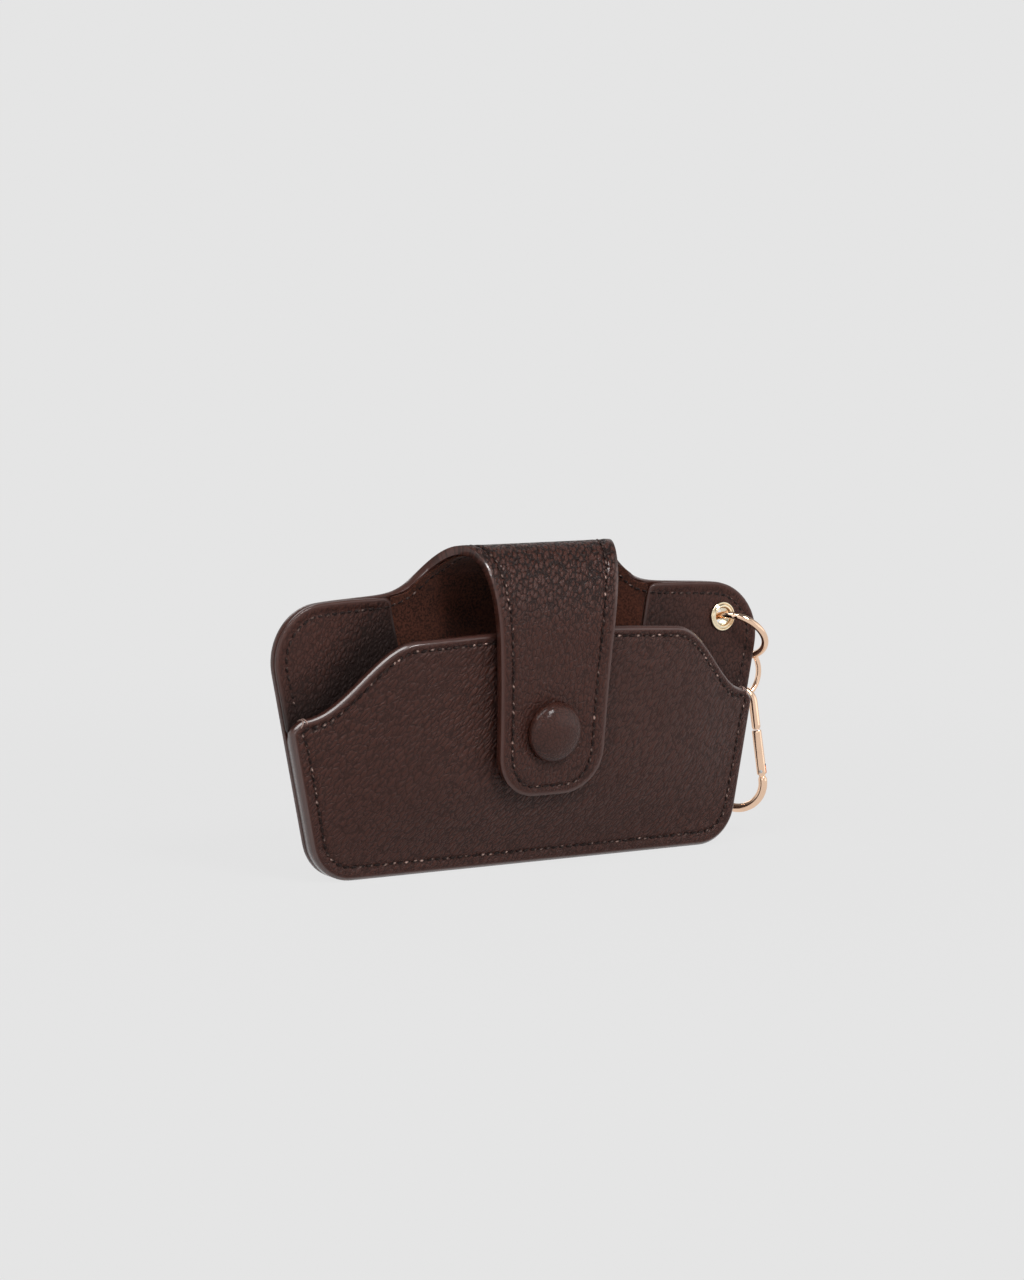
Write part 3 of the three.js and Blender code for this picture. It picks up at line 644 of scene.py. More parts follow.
def finish_piece(piece, material, slot, body, *nodes):
    """Gives a piece its finish, its body and the solids that it stands for."""
    piece.data.materials.clear()
    piece.data.materials.append(material)
    if body == "strap_fold":
        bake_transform(piece)
    else:
        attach(piece, body)
    if nodes:
        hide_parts(*nodes)


# Finishes

class Value:
    """A node socket that takes part in sums, so that shader maths reads as an expression."""

    def __init__(self, nodes, socket):
        self.nodes = nodes
        self.socket = socket

    def maths(self, operation, first, second):
        return self.nodes.node("Math", {"operation": operation}, {0: first, 1: second})

    def __add__(self, other):
        return self.maths("ADD", self, other)

    def __radd__(self, other):
        return self.maths("ADD", other, self)

    def __sub__(self, other):
        return self.maths("SUBTRACT", self, other)

    def __rsub__(self, other):
        return self.maths("SUBTRACT", other, self)

    def __mul__(self, other):
        return self.maths("MULTIPLY", self, other)

    def __rmul__(self, other):
        return self.maths("MULTIPLY", other, self)


class Nodes:
    """The nodes of a finish or of the world, as they are put together."""

    def __init__(self, owner):
        owner.use_nodes = True
        self.owner = owner
        self.tree = owner.node_tree
        self.tree.nodes.clear()

    def node(self, kind, settings=None, sockets=None, output=0):
        """Adds a node with its settings, then its socket values or links."""
        made = self.tree.nodes.new("ShaderNode" + kind)
        for name, value in (settings or {}).items():
            setattr(made, name, value)
        for name, value in (sockets or {}).items():
            if isinstance(value, Value):
                self.tree.links.new(value.socket, made.inputs[name])
            else:
                made.inputs[name].default_value = value
        return Value(self, made.outputs[output]) if made.outputs else None

    def ramp(self, value, low, high):
        """A value stretched so that low becomes 0 and high becomes 1."""
        settings = {"clamp": True, "interpolation_type": "SMOOTHSTEP"}
        return self.node(
            "MapRange", settings, {"Value": value, "From Min": low, "From Max": high}
        )

    def mix(self, factor, first, second):
        """A mix of two colours."""
        return self.node("Mix", {"data_type": "RGBA"}, {0: factor, 6: first, 7: second}, 2)

    def noted(self, name):
        """A number that is kept for each corner of the mesh."""
        return self.node("Attribute", {"attribute_name": name}, None, "Fac")

    def noise(self, where, scale, detail=2.0, output="Fac"):
        """Cloudy noise of a scale."""
        sockets = {"Vector": where, "Scale": scale, "Detail": detail}
        return self.node("TexNoise", None, sockets, output)

    def cells(self, feature, where, scale, **more):
        """Distance within small cells, from their middles or from their edges."""
        sockets = {"Vector": where, "Scale": scale, **more}
        return self.node("TexVoronoi", {"feature": feature}, sockets, "Distance")

    def place(self, scale=(1, 1, 1), rotation=(0, 0, 0), where=None):
        """Object coordinates, or others that are given, turned and stretched."""
        where = where or self.node("TexCoord", output="Object")
        turned_to = self.node("Mapping", None, {"Vector": where, "Rotation": rotation})
        return self.node("Mapping", None, {"Vector": turned_to, "Scale": scale})

    def bump(self, height, distance, strength):
        """Relief of a height."""
        sockets = {"Height": height, "Distance": distance, "Strength": strength}
        return self.node("Bump", None, sockets)

    def seen(self):
        """1 for what the camera sees straight, in a reflection or through glass."""
        kinds = ("Camera", "Glossy", "Transmission")
        rays = [self.node("LightPath", output=f"Is {kind} Ray") for kind in kinds]
        return rays[0] + rays[1] + rays[2]

    def close(self, surface, kind="Material"):
        """Links a surface to the output and gives back the finished material or world."""
        self.node("Output" + kind, None, {"Surface": surface})
        return self.owner

    def principled(self, sockets):
        """Closes a finish with the usual surface shader."""
        return self.close(self.node("BsdfPrincipled", None, sockets))


def rgba(value, share=1.0):
    """A colour for a socket, or a share of it."""
    return (*(c * share for c in value), 1.0)


# grain: fineness of the cells; slant, pull: the way and the length that they are drawn out;
# gloss: roughness; relief: their height; fine: share of small pebbles; shine: specular level;
# polish, edge: gloss coat all over and on the edges; along: the pattern follows the strap.
LEATHERS = {
    "pocket_leather": dict(grain=1.05, slant=-0.75, pull=0.32, gloss=0.38, relief=0.8, edge=1.0),
    "strap_leather": dict(
        grain=1.0, slant=0.4, pull=0.55, gloss=0.33, relief=0.6, fine=0.8, along=True, shine=0.24
    ),
    "facing_leather": dict(grain=1.1, slant=-0.5, pull=0.5, gloss=0.42, relief=0.32, fine=0.3),
    "button_leather": dict(
        grain=1.2, slant=-0.3, pull=0.8, gloss=0.36, relief=0.3, polish=0.2, fine=1.0, shine=0.16
    ),
}


def leather_finish(
    name, colours, grain, slant, pull, gloss, relief,
    polish=0.0, fine=0.0, along=False, shine=0.25, edge=0.4,
):
    """Leather grain: domed cells drawn out along a slant, and creases darkened as painted shade;
    smooth rubbed edges, lighter partly as painted highlight; painted shade where it is noted, and
    painted light and shade on the pebbles over the strap's bend.
    """
    f = Nodes(bpy.data.materials.new(name))
    hide = f.node("TexCoord", output="Object")
    if along:
        across = f.node("SeparateXYZ", None, {0: hide}, "X")
        hide = f.node("CombineXYZ", None, {"X": across, "Y": 0.0, "Z": f.noted("run")})
    where = f.place((1.0, 1.0, pull), (0, slant, 0), hide)
    even = f.place(where=hide)
    warp = f.noise(even, 520.0, output="Color")
    bent, close = (
        f.node("VectorMath", {"operation": "MULTIPLY_ADD"}, {0: warp, 1: (0.0011,) * 3, 2: base})
        for base in (where, even)
    )
    cell = 800.0 * grain
    edges = f.cells("DISTANCE_TO_EDGE", bent, cell)
    domes = f.cells("SMOOTH_F1", bent, cell, Smoothness=0.3)
    pebbles = f.cells("SMOOTH_F1", close, 1500.0 * grain, Smoothness=0.25)
    pulls = f.noise(where, 330.0, 3.0)
    cloud = f.noise(even, 38.0, 3.0)
    rim, wrinkles_and_painted_shade, bend = (f.noted(name) for name in ("rim", "wrinkles_and_painted_shade", "bend"))

    skin = (1 - f.ramp(rim, 0.1, 0.4)) * (1 + 1.2 * wrinkles_and_painted_shade + 1.0 * bend)
    crease = 1 - f.ramp(edges, 0.0, 0.2)
    dome = 1 - f.ramp(domes, 0.05, 0.8)
    pebble = 1 - f.ramp(pebbles, 0.1, 0.8)
    drawn = f.ramp(pulls, 0.25, 0.75) * (0.6 - 0.3 * fine)
    height = (dome * 0.55 - crease * 0.35 + pebble * (0.1 + 0.25 * fine) + drawn) * skin

    leather = colours.leather
    # Painted shade: the creases are darkened in the colour, more where the painted shade or the
    # bend is noted.
    painted_crease_shade = f.ramp(crease - pebble * 0.4, 0.1, 0.9) * skin * 0.8
    tone = f.mix(painted_crease_shade, rgba(leather), rgba(leather, 0.3))
    clouded = f.mix(f.ramp(cloud, 0.35, 0.75) * 0.4, tone, rgba(colours.leather_dark))
    # Painted light and shade over the strap's bend: the pebbles are dark between them and lighter
    # on their crests.
    domed = f.ramp(dome - crease * 0.25, 0.0, 0.5)
    painted_pebble_light = f.mix(domed, rgba(leather, 0.2), rgba(leather, 1.2))
    with_painted_bend_light = f.mix(bend * 0.85, clouded, painted_pebble_light)
    # The rims are mixed towards a lighter tone: partly rubbed wear, partly painted highlight.
    edge_wear_and_highlight = f.mix(f.ramp(rim, 0.3, 0.9) * 0.2, with_painted_bend_light, rgba(colours.leather_wear_and_highlight))
    coat = f.ramp(rim, 0.25, 0.6) * edge + bend * f.ramp(dome, 0.5, 0.85) * 0.3 + polish
    return f.principled({
        # Painted shade: the colour darkens towards a dark leather tone where the painted shade is
        # noted.
        "Base Color": f.mix(wrinkles_and_painted_shade * 0.92, edge_wear_and_highlight, rgba(leather, 0.15)),
        "Roughness": gloss + 0.16 * crease + 0.25 * wrinkles_and_painted_shade + f.ramp(cloud, 0.3, 0.8) * 0.06,
        "Specular IOR Level": shine,
        "Coat IOR": 1.65,
        "Coat Weight": coat,
        "Coat Roughness": 0.14,
        "Normal": f.bump(height, 0.0005 * relief, 0.95),
    })


def suede_finish(name, colours):
    """Napped suede: short brushed fibres and cloudy shade."""
    f = Nodes(bpy.data.materials.new(name))
    where = f.place()
    nap = f.noise(where, 1500.0, 3.0)
    brushed = f.noise(where, 160.0, 4.0)
    tone = f.mix(f.ramp(nap, 0.38, 0.62), rgba(colours.suede, 0.3), rgba(colours.suede, 1.15))
    return f.principled({
        "Base Color": f.mix(f.ramp(brushed, 0.35, 0.7) * 0.3, tone, rgba(colours.suede, 1.5)),
        "Roughness": 0.95,
        "Specular IOR Level": 0.15,
        "Sheen Weight": 0.12,
        "Sheen Roughness": 0.5,
        "Normal": f.bump(nap * 0.7 + brushed * 0.3, 0.00025, 0.6),
    })


def thread_finish(name, colours):
    """Waxed sewing thread with a fine twist; it is lighter where the crown is noted: painted
    glints on the stitches, and the corner tacks all along.
    """
    f = Nodes(bpy.data.materials.new(name))
    fibres = f.noise(f.place(), 4200.0)
    thread, light = rgba(colours.thread), rgba(colours.thread_glint)
    twist = f.mix(f.ramp(fibres, 0.5, 0.8) * 0.12, thread, light)
    return f.principled({
        # Painted glints: the thread is mixed towards its light tone where the crown is noted.
        "Base Color": f.mix(f.noted("crown"), twist, light),
        "Specular IOR Level": 0.12,
        "Roughness": 0.35 + fibres * 0.15,
        "Normal": f.bump(fibres, 0.0001, 0.7),
    })


def metal_finish(name, tone, roughness):
    """Polished metal with faint handling marks."""
    f = Nodes(bpy.data.materials.new(name))
    haze = f.noise(f.place(), 220.0, 4.0)
    marks = f.noise(f.place((1, 1, 0.08)), 1500.0)
    dulled = f.ramp(haze, 0.35, 0.8) * 0.07 + f.ramp(marks, 0.55, 0.8) * 0.05
    return f.principled({
        "Base Color": f.mix(f.ramp(haze, 0.3, 0.8) * 0.3, rgba(tone), rgba(tone, 0.86)),
        "Metallic": 1.0,
        "Roughness": roughness + dulled,
        "Normal": f.bump(marks, 0.00001, 0.3),
    })


def board_finish(name, colours):
    """Grey pressed board with flecks."""
    f = Nodes(bpy.data.materials.new(name))
    flecks = f.noise(f.place(), 900.0, 3.0)
    tone = f.mix(f.ramp(flecks, 0.35, 0.7), rgba(colours.board), rgba(colours.board, 0.75))
    return f.principled({
        "Base Color": tone, "Roughness": 0.9, "Normal": f.bump(flecks, 0.0001, 0.5)
    })


def floor_finish(shade):
    """A pale floor that keeps the shadow and is otherwise seen as the plain background."""
    f = Nodes(bpy.data.materials.new("floor"))
    plain = f.node("BsdfDiffuse", None, {"Color": rgba(shade)})
    glow = f.node("Emission", None, {"Color": rgba(shade), "Strength": 1.0})
    where = f.node("TexCoord", output="Object")
    far = f.node("VectorMath", {"operation": "LENGTH"}, {0: where}, "Value")
    share = f.seen() * (0.95 + f.ramp(far, 0.12, 0.45) * 0.05)
    return f.close(f.node("MixShader", None, {0: share, 1: plain, 2: glow}))


def studio_world(shade):
    """Even light all round; reflections show the background under a darker ceiling."""
    f = Nodes(bpy.data.worlds.new("studio"))
    surround = f.node("Background", None, {"Color": rgba(shade), "Strength": 0.22})
    where = f.node("TexCoord", output="Object")
    height = f.node("SeparateXYZ", None, {0: where}, "Z")
    rise = f.node("MapRange", None, {"Value": height, "From Min": 0.2, "From Max": 0.6})
    ceiling = f.node("LightPath", output="Is Glossy Ray") * rise
    behind = f.node("Background", None, {"Color": rgba(shade), "Strength": 1 - ceiling * 0.75})
    return f.close(f.node("MixShader", None, {0: f.seen(), 1: surround, 2: behind}), "World")


class Workshop:
    """The form and finishes that the operators share."""

    def __init__(self):
        scene = bpy.context.scene
        self.colours = scene.case_colours
        self.form = CaseForm(scene.case_sizes)

    def finish(self, name):
        """A finish by its name, made once."""
        made = bpy.data.materials.get(name)
        if made:
            return made
        colours = self.colours
        if name in LEATHERS:
            return leather_finish(name, colours, **LEATHERS[name])
        makers = {
            "suede": lambda: suede_finish(name, colours),
            "thread": lambda: thread_finish(name, colours),
            "gold": lambda: metal_finish(name, colours.gold, 0.1),
            "pale_gold": lambda: metal_finish(name, colours.pale_gold, 0.1),
            "steel": lambda: metal_finish(name, colours.steel, 0.3),
            "board": lambda: board_finish(name, colours),
        }
        return makers[name]()


SHOP = []


def shop():
    if not SHOP:
        SHOP.append(Workshop())
    return SHOP[0]


# Pieces

def seam_insets(outline, base, changes):
    """Distance of the seam from each point of an outline, changed smoothly where a test holds."""
    insets = np.full(len(outline), base)
    for test, value in changes:
        insets = np.where(test, value, insets)
    kernel = np.ones(9) / 9
    padded = np.concatenate([insets[-4:], insets, insets[:4]])
    return np.convolve(padded, kernel, "valid")


def seam_relief(outline, insets, pitch, flat, depth, plump):
    """How far a sheet sinks at its seam and swells beside it."""
    far, along = edge_distance(outline, flat)
    steps = np.linalg.norm(np.roll(outline, -1, axis=0) - outline, axis=1)
    runs = np.concatenate([[0], np.cumsum(steps)[:-1]])
    inset = np.interp(along, runs, insets)
    beat = 0.72 + 0.28 * np.cos(2 * math.pi * along / pitch)
    groove = depth * beat * np.exp(-(((far - inset) / (0.6 * MM)) ** 2))
    swell = plump * np.exp(-(((far - inset * 0.48) / (inset * 0.3)) ** 2))
    inner = 0.5 * plump * np.exp(-(((far - inset - 1.6 * MM) / (1.1 * MM)) ** 2))
    return groove - swell - inner, far


def cut_hole(piece, where, radius):
    """Cuts a round hole right through a piece, along the Z axis of a place."""
    deselect()
    bpy.ops.mesh.primitive_cylinder_add(vertices=48, radius=radius, depth=16 * MM)
    tool = start_piece("hole_cutter")
    axis = where.to_3x3() @ Vector((0, 0, 1))
    turn_to = Vector((0, 0, 1)).rotation_difference(axis).to_matrix().to_4x4()
    place(tool, Matrix.Translation(where.translation) @ turn_to)
    apply(piece, "BOOLEAN", operation="DIFFERENCE", object=tool, solver="EXACT")
    bpy.data.objects.remove(tool, do_unlink=True)


def fold_rows(form):
    """Rows of edges across the strap's root, close enough to bend."""
    return form.fold + np.linspace(0, FOLD_REACH, 13)


def split_at(piece, cuts):
    """Parts a piece at its runs, closes the ends and keeps the shading whole across them."""
    mesh = piece.data
    normals = np.zeros(len(mesh.vertices) * 3, np.float32)
    mesh.vertex_normals.foreach_get("vector", normals)
    kept = mesh.attributes.new("soft_normal", "FLOAT_VECTOR", "POINT")
    kept.data.foreach_set("vector", normals)
    parts = [piece]
    for name, at in cuts:
        last = parts[-1]
        runs = noted(last, "run")
        chosen = [bool(runs[list(face.vertices)].mean() > at) for face in last.data.polygons]
        edit(last)
        bpy.ops.mesh.select_all(action="DESELECT")
        object_mode()
        last.data.polygons.foreach_set("select", chosen)
        bpy.ops.object.mode_set(mode="EDIT")
        bpy.ops.mesh.separate(type="SELECTED")
        object_mode()
        other = [o for o in bpy.context.selected_objects if o != last][0]
        other.name = name
        other.data.name = name
        parts.append(other)
    for part in parts:
        edit(part, "EDGE")
        bpy.ops.mesh.select_all(action="DESELECT")
        bpy.ops.mesh.select_non_manifold(extend=False)
        bpy.ops.mesh.edge_face_add()
        object_mode()
        part.data.polygons.foreach_set("use_smooth", [True] * len(part.data.polygons))
        normals = np.zeros(len(part.data.vertices) * 3, np.float32)
        part.data.attributes["soft_normal"].data.foreach_get("vector", normals)
        part.data.normals_split_custom_set_from_vertices(normals.reshape(-1, 3))
        part.data.attributes.remove(part.data.attributes["soft_normal"])
    return parts


def fold_cuts(form, kind):
    """Names and runs of the strap's root and of the strap, for one layer of the hide."""
    return ((f"fold_{kind}", form.fold), (f"strap_{kind}", form.fold + FOLD_REACH))


def ease_neck(form, line):
    """Rounds the inward curve of the neck, where the shoulder runs on into the strap's edge."""
    line = resample(line, 0.5 * MM)
    v = line[:, 1]
    begun = smoothstep(v, 83.6 * MM, 85 * MM)
    ended = smoothstep(v, form.fold + 8 * MM, form.fold + 20 * MM)
    return line + (soften(line, 43) - line) * (begun * (1 - ended))[:, None]


def turned_edge(far):
    """1 on a sheet's turned edge, 0 further in, by the distance from its edge."""
    return 1 - smoothstep(far, 2.5 * MM, 3.1 * MM)


def sewn_down(form, v):
    """1 where the pocket is sewn to the back, 0 over the ends of its mouth."""
    return 1 - smoothstep(v, form.side_top - 7 * MM, form.side_top - 4 * MM)


def back_outline(form):
    """Pattern of the back panel and the strap in one: up the sides and over the fold."""
    right = ease_neck(form, np.vstack([form.back_half, form.strap_half_line()]))
    return resample(mirror_line(right), form.s.stitch_pitch / 2, closed=True)


def back_insets(form, outline):
    u, v = np.abs(outline[:, 0]), outline[:, 1]
    end = form.strap_end
    tip = (v > end - 9 * MM) & (u < 15 * MM)
    strap = v > form.strap_root + 12 * MM
    top = (v > 60 * MM) & (v < form.strap_root + 12 * MM)
    return seam_insets(outline, 4.2 * MM, [(top, 3.8 * MM), (strap, 4.4 * MM), (tip, 3.0 * MM)])


def button_dimple(form, u, v):
    """How far the strap is drawn in round the button, with small gathers."""
    height = form.mouth - SNAP_DROP
    centre = form.strap_root + float(form.run_at(height))
    far = np.hypot(u, v - centre)
    around = np.arctan2(v - centre, u)
    dip = 0.65 * MM * np.exp(-(((far - 8.2 * MM) / (3.2 * MM)) ** 2)) * (far < 30 * MM)
    gather = 0.1 * MM * np.sin(11 * around + 2 * np.sin(3 * around))
    return dip + gather * np.exp(-(((far - 11.5 * MM) / (2.0 * MM)) ** 2))


class CASE_OT_back_and_strap(bpy.types.Operator):
    """Cuts the back panel and the strap from one hide, shapes them and parts them at the fold"""

    bl_idname = "glasses_case.back_and_strap"
    bl_label = "Back panel and strap"

    def execute(self, context):
        work = shop()
        form = work.form
        outline = back_outline(form)
        columns = grid_lines(-GRID_HALF, GRID_HALF, 2 * MM)
        rows = grid_lines(0, form.strap_end, 2 * MM)
        piece = flat_pattern("back_leather", outline, RINGS, columns, rows, fold_rows(form))
        flat = corners(piece)[:, :2]
        insets = back_insets(form, outline)
        relief, far = seam_relief(outline, insets, form.s.stitch_pitch, flat, 0.55 * MM, 0.14 * MM)
        u, v = flat[:, 0], flat[:, 1]
        on_strap = smoothstep(v, form.fold - 4 * MM, form.fold + 10 * MM)
        relief = relief + button_dimple(form, u, v)
        set_corners(piece, form.outer(u, v, relief))
        note(piece, "rim", np.exp(-far / (1.0 * MM)))
        note(piece, "run", v)
        # The strap's bend over the fold: stronger pebbles, painted light and shade on them, and
        # glints of coat.
        bend = smoothstep(v, form.fold + 4 * MM, form.fold + 14 * MM)
        note(piece, "bend", bend * (1 - smoothstep(v, form.fold + 28 * MM, form.fold + 56 * MM)))
        face_away(piece, (0, -6 * MM, 60 * MM))
        rim_depth = 1.7 + 1.02 * smoothstep(v, 85 * MM, 87.5 * MM)
        leather = 1.0 + 0.2 * on_strap
        turned_in = turned_edge(far)
        weights = (rim_depth * turned_in + leather * (1 - turned_in)) / 2.72
        thicken(piece, 2.72 * MM, weights, 0.62 * MM, profile=0.32)
        cut_hole(piece, eyelet_place(form), EYELET_HOLE)
        smooth(piece)
        piece, fold, strap = split_at(piece, fold_cuts(form, "leather"))
        hide = work.finish("strap_leather")
        finish_piece(piece, hide, "brown_leather", "pouch", "back_outer")
        finish_piece(fold, hide, "brown_leather", "strap_fold")
        finish_piece(strap, hide, "brown_leather", "strap", "strap_outer")
        return {"FINISHED"}


def strap_distance(form, flat):
    """How far places on the pocket's face lie from the strap's edge."""
    s = form.s
    run = form.run_at(flat[:, 1])
    radius = s.strap_end_radius
    beside = np.abs(flat[:, 0] - s.strap_offset) - form.strap_width(run) + radius
    below = form.mouth - s.strap_end_drop + radius - flat[:, 1]
    return np.hypot(np.maximum(beside, 0), np.maximum(below, 0)) - radius


def front_outline(form):
    return resample(mirror_line(form.front_half()), form.s.stitch_pitch / 2, closed=True)


def front_insets(form, outline):
    u, v = np.abs(outline[:, 0]), outline[:, 1]
    reach = form.s.mouth_side_inset
    mouth = v > form.side_top - 0.5 * MM
    corner = (v > form.side_top - reach) & (u > form.side(v) - reach - 0.4 * MM)
    return seam_insets(outline, 4.2 * MM, [(mouth, 2.9 * MM), (corner, 2.0 * MM)])


class CASE_OT_front_pocket(bpy.types.Operator):
    """Cuts and bulges the front pocket's leather, with a turned edge and a sunk seam"""

    bl_idname = "glasses_case.front_pocket"
    bl_label = "Front pocket"

    def execute(self, context):
        work = shop()
        form = work.form
        outline = front_outline(form)
        columns = grid_lines(-GRID_HALF, GRID_HALF, 2.6 * MM)
        rows = grid_lines(0, form.mouth, 2.6 * MM)
        piece = flat_pattern("pocket_leather", outline, RINGS, columns, rows)
        flat = corners(piece)[:, :2]
        insets = front_insets(form, outline)
        relief, far = seam_relief(outline, insets, form.s.stitch_pitch, flat, 0.55 * MM, 0.16 * MM)
        set_corners(piece, form.pocket(flat[:, 0], flat[:, 1], relief))
        note(piece, "rim", np.exp(-far / (1.0 * MM)))
        # Painted shadow: a band along the strap's edge on the pocket is darkened in the colour.
        strap_shadow_mask = 1 - smoothstep(np.abs(strap_distance(form, flat)), 0, 8 * MM)
        note(piece, "wrinkles_and_painted_shade", 0.2 * strap_shadow_mask)
        face_away(piece, (0, 30 * MM, 40 * MM))
        turned_in = turned_edge(far)
        rim_depth = 2.6 + 1.6 * sewn_down(form, flat[:, 1])
        weights = (rim_depth * turned_in + 1.0 * (1 - turned_in)) / 4.2
        thicken(piece, 4.2 * MM, weights, 0.8 * MM, way=(0, 1, 0), profile=0.27)
        co = corners(piece)
        behind = co[:, 1] - form.pocket(co[:, 0], co[:, 2])[:, 1] > 1.3 * MM
        rim = noted(piece, "rim")
        note(piece, "rim", np.where(behind, np.minimum(rim, 0.31), rim))
        smooth(piece)
        finish_piece(piece, work.finish("pocket_leather"), "brown_leather", "pouch", "front_outer")
        return {"FINISHED"}


def facing_depth(form, u, v):
    """How deep a facing's face lies under the outer face; its free edge stands off a little."""
    lift = 1 - smoothstep(np.abs(u) - form.facing_edge(v), 2 * MM, 9 * MM)
    return (3.2 + 0.4 * lift) * MM


def facing_outline(form):
    """Right corner facing, inside the back panel's outline."""
    whole = resample(mirror_line(form.back_half), 1.0 * MM, closed=True)
    edge = offset_line(whole, (0.25 + 3.05 * sewn_down(form, whole[:, 1])) * MM)
    right = edge[(edge[:, 0] > form.facing_edge(edge[:, 1])) & (edge[:, 1] < FACING_TOP)]
    order = np.argsort(np.arctan2(right[:, 1] - 42 * MM, right[:, 0] - 55 * MM))
    right = right[order]
    top, low = right[-1], right[0]
    inner_top = (form.facing_edge(top[1]), top[1])
    inner_low = (form.facing_edge(low[1]), low[1])
    rounded = corner_arc(top + [6 * MM, 0], inner_top, inner_low, 2.6 * MM, 8)
    line = np.vstack([right[right[:, 0] > rounded[0][0] + 0.2 * MM], rounded, [inner_low]])
    return resample(line, 1.2 * MM, closed=True)


class CASE_OT_corner_facings(bpy.types.Operator):
    """Lays a leather facing over each corner of the back panel's inside"""

    bl_idname = "glasses_case.corner_facings"
    bl_label = "Corner facings"

    def execute(self, context):
        work = shop()
        form = work.form
        pocket_edge = form.front_half()[len(form.foot()):]
        outline = facing_outline(form)
        rings = [0.7 * MM] + [0.6 * MM] * 7
        columns, rows = grid_lines(30 * MM, 92 * MM, 3 * MM), grid_lines(0, 85 * MM, 3 * MM)
        seam = np.full(len(outline), 2.9 * MM)
        for side, name, shade in ((1, "right", 0.4), (-1, "left", 1.0)):
            piece = flat_pattern(f"facing_leather_{name}", outline, rings, columns, rows)
            flat = corners(piece)[:, :2]
            u, v = flat[:, 0] * side, flat[:, 1]
            pitch = form.s.stitch_pitch
            relief, far = seam_relief(outline, seam, pitch, flat, 0.3 * MM, 0.08 * MM)
            sewn = smoothstep(flat[:, 0] - form.facing_edge(v), 4 * MM, 6 * MM)
            set_corners(piece, form.outer(u, v, facing_depth(form, u, v) - relief * sewn))
            note(piece, "rim", np.exp(-far / (0.8 * MM)))
            # Painted shade: each facing darkens towards and under the pocket's mouth, the left one
            # fully and the right one at 0.4.
            mouth = np.interp(-flat[:, 0], -pocket_edge[:, 0], pocket_edge[:, 1])
            note(piece, "wrinkles_and_painted_shade", shade * (1 - smoothstep(v - mouth, -2 * MM, 20 * MM)))
            face_away(piece, (0, 40 * MM, 40 * MM))
            edge = turned_edge(far) * (1 - sewn_down(form, v)) * sewn
            thicken(piece, 1.45 * MM, (1.0 + 0.45 * edge) / 1.45, 0.5 * MM)
            if side > 0:
                cut_hole(piece, eyelet_place(form), EYELET_HOLE)
            smooth(piece)
            node = f"corner_facing_{name}"
            finish_piece(piece, work.finish("facing_leather"), "brown_leather", "pouch", node)
        return {"FINISHED"}


def suede_outline(form):
    """Pattern of the suede that lines the back panel's middle, the fold and the strap."""
    low, top = 1.0 * MM, 83.9 * MM
    inner = [(form.facing_edge(z) - 0.12 * MM, z) for z in np.linspace(low, top, 30)]
    above = form.back_half[:, 1] > form.s.shoulder_height + 0.05 * MM
    neck = form.back_half[above] - [1.6 * MM, 0.6 * MM]
    strap = form.strap_half_line(1.5 * MM)
    right = np.vstack([inner, neck, strap])
    return resample(mirror_line(right), 1.6 * MM, closed=True)


def suede_depth(form, v):
    """How deep the suede's face lies under the outer face."""
    on_strap = smoothstep(v, form.fold - 10 * MM, form.fold + 4 * MM)
    return (2.87 + (3.3 - 2.87) * on_strap) * MM


class CASE_OT_linings(bpy.types.Operator):
    """Lines the back panel, the strap and the pocket with suede"""

    bl_idname = "glasses_case.linings"
    bl_label = "Suede linings"

    def execute(self, context):
        work = shop()
        form = work.form
        outline = suede_outline(form)
        rings = [0.5 * MM] + [0.8 * MM] * 5
        columns = grid_lines(-GRID_HALF, GRID_HALF, 3 * MM)
        rows = grid_lines(0, form.strap_end, 3 * MM)
        piece = flat_pattern("back_suede", outline, rings, columns, rows, fold_rows(form))
        flat = corners(piece)[:, :2]
        u, v = flat[:, 0], flat[:, 1]
        set_corners(piece, form.outer(u, v, suede_depth(form, v)))
        note(piece, "run", v)
        face_away(piece, (0, 40 * MM, 40 * MM))
        thicken(piece, 0.55 * MM, np.ones(len(u)), 0.2 * MM, 2)
        cut_hole(piece, snap_place(form), 6.0 * MM)
        # The cut's new corners have no run of their own, and all lie on the strap.
        run = noted(piece, "run")
        note(piece, "run", np.where(run < 0.5 * MM, form.strap_end, run))
        smooth(piece)
        piece, fold, strap = split_at(piece, fold_cuts(form, "suede"))
        suede = work.finish("suede")
        finish_piece(piece, suede, "suede_lining", "pouch", "back_lining")
        finish_piece(fold, suede, "suede_lining", "strap_fold")
        finish_piece(strap, suede, "suede_lining", "strap", "strap_lining")

        whole = front_outline(form)
        inner = offset_line(whole, np.full(len(whole), 3.3 * MM))
        inner = resample(inner, 1.6 * MM, closed=True)
        rows = grid_lines(0, form.mouth, 3 * MM)
        pocket = flat_pattern("pocket_suede", inner, rings, columns, rows)
        flat = corners(pocket)[:, :2]
        set_corners(pocket, form.pocket(flat[:, 0], flat[:, 1], 2.83 * MM))
        face_away(pocket, (0, -60 * MM, 40 * MM))
        thicken(pocket, 0.6 * MM, np.ones(len(flat)), 0.2 * MM, 2)
        smooth(pocket)
        finish_piece(pocket, suede, "suede_lining", "pouch", "front_lining")
        return {"FINISHED"}


def one_stitch():
    """Corners and faces of one stitch, 1 long along X, its ends dipping into their holes."""
    deselect()
    bpy.ops.mesh.primitive_uv_sphere_add(segments=8, ring_count=6, radius=0.5)
    piece = start_piece("stitch")
    co = corners(piece)[:, [2, 0, 1]]
    co[:, 0] = np.sign(co[:, 0]) * np.abs(co[:, 0] * 2) ** 0.7 / 2
    co[:, 2] -= 1.1 * co[:, 0] ** 2
    faces = [list(face.vertices) for face in piece.data.polygons]
    bpy.data.objects.remove(piece, do_unlink=True)
    return co, faces


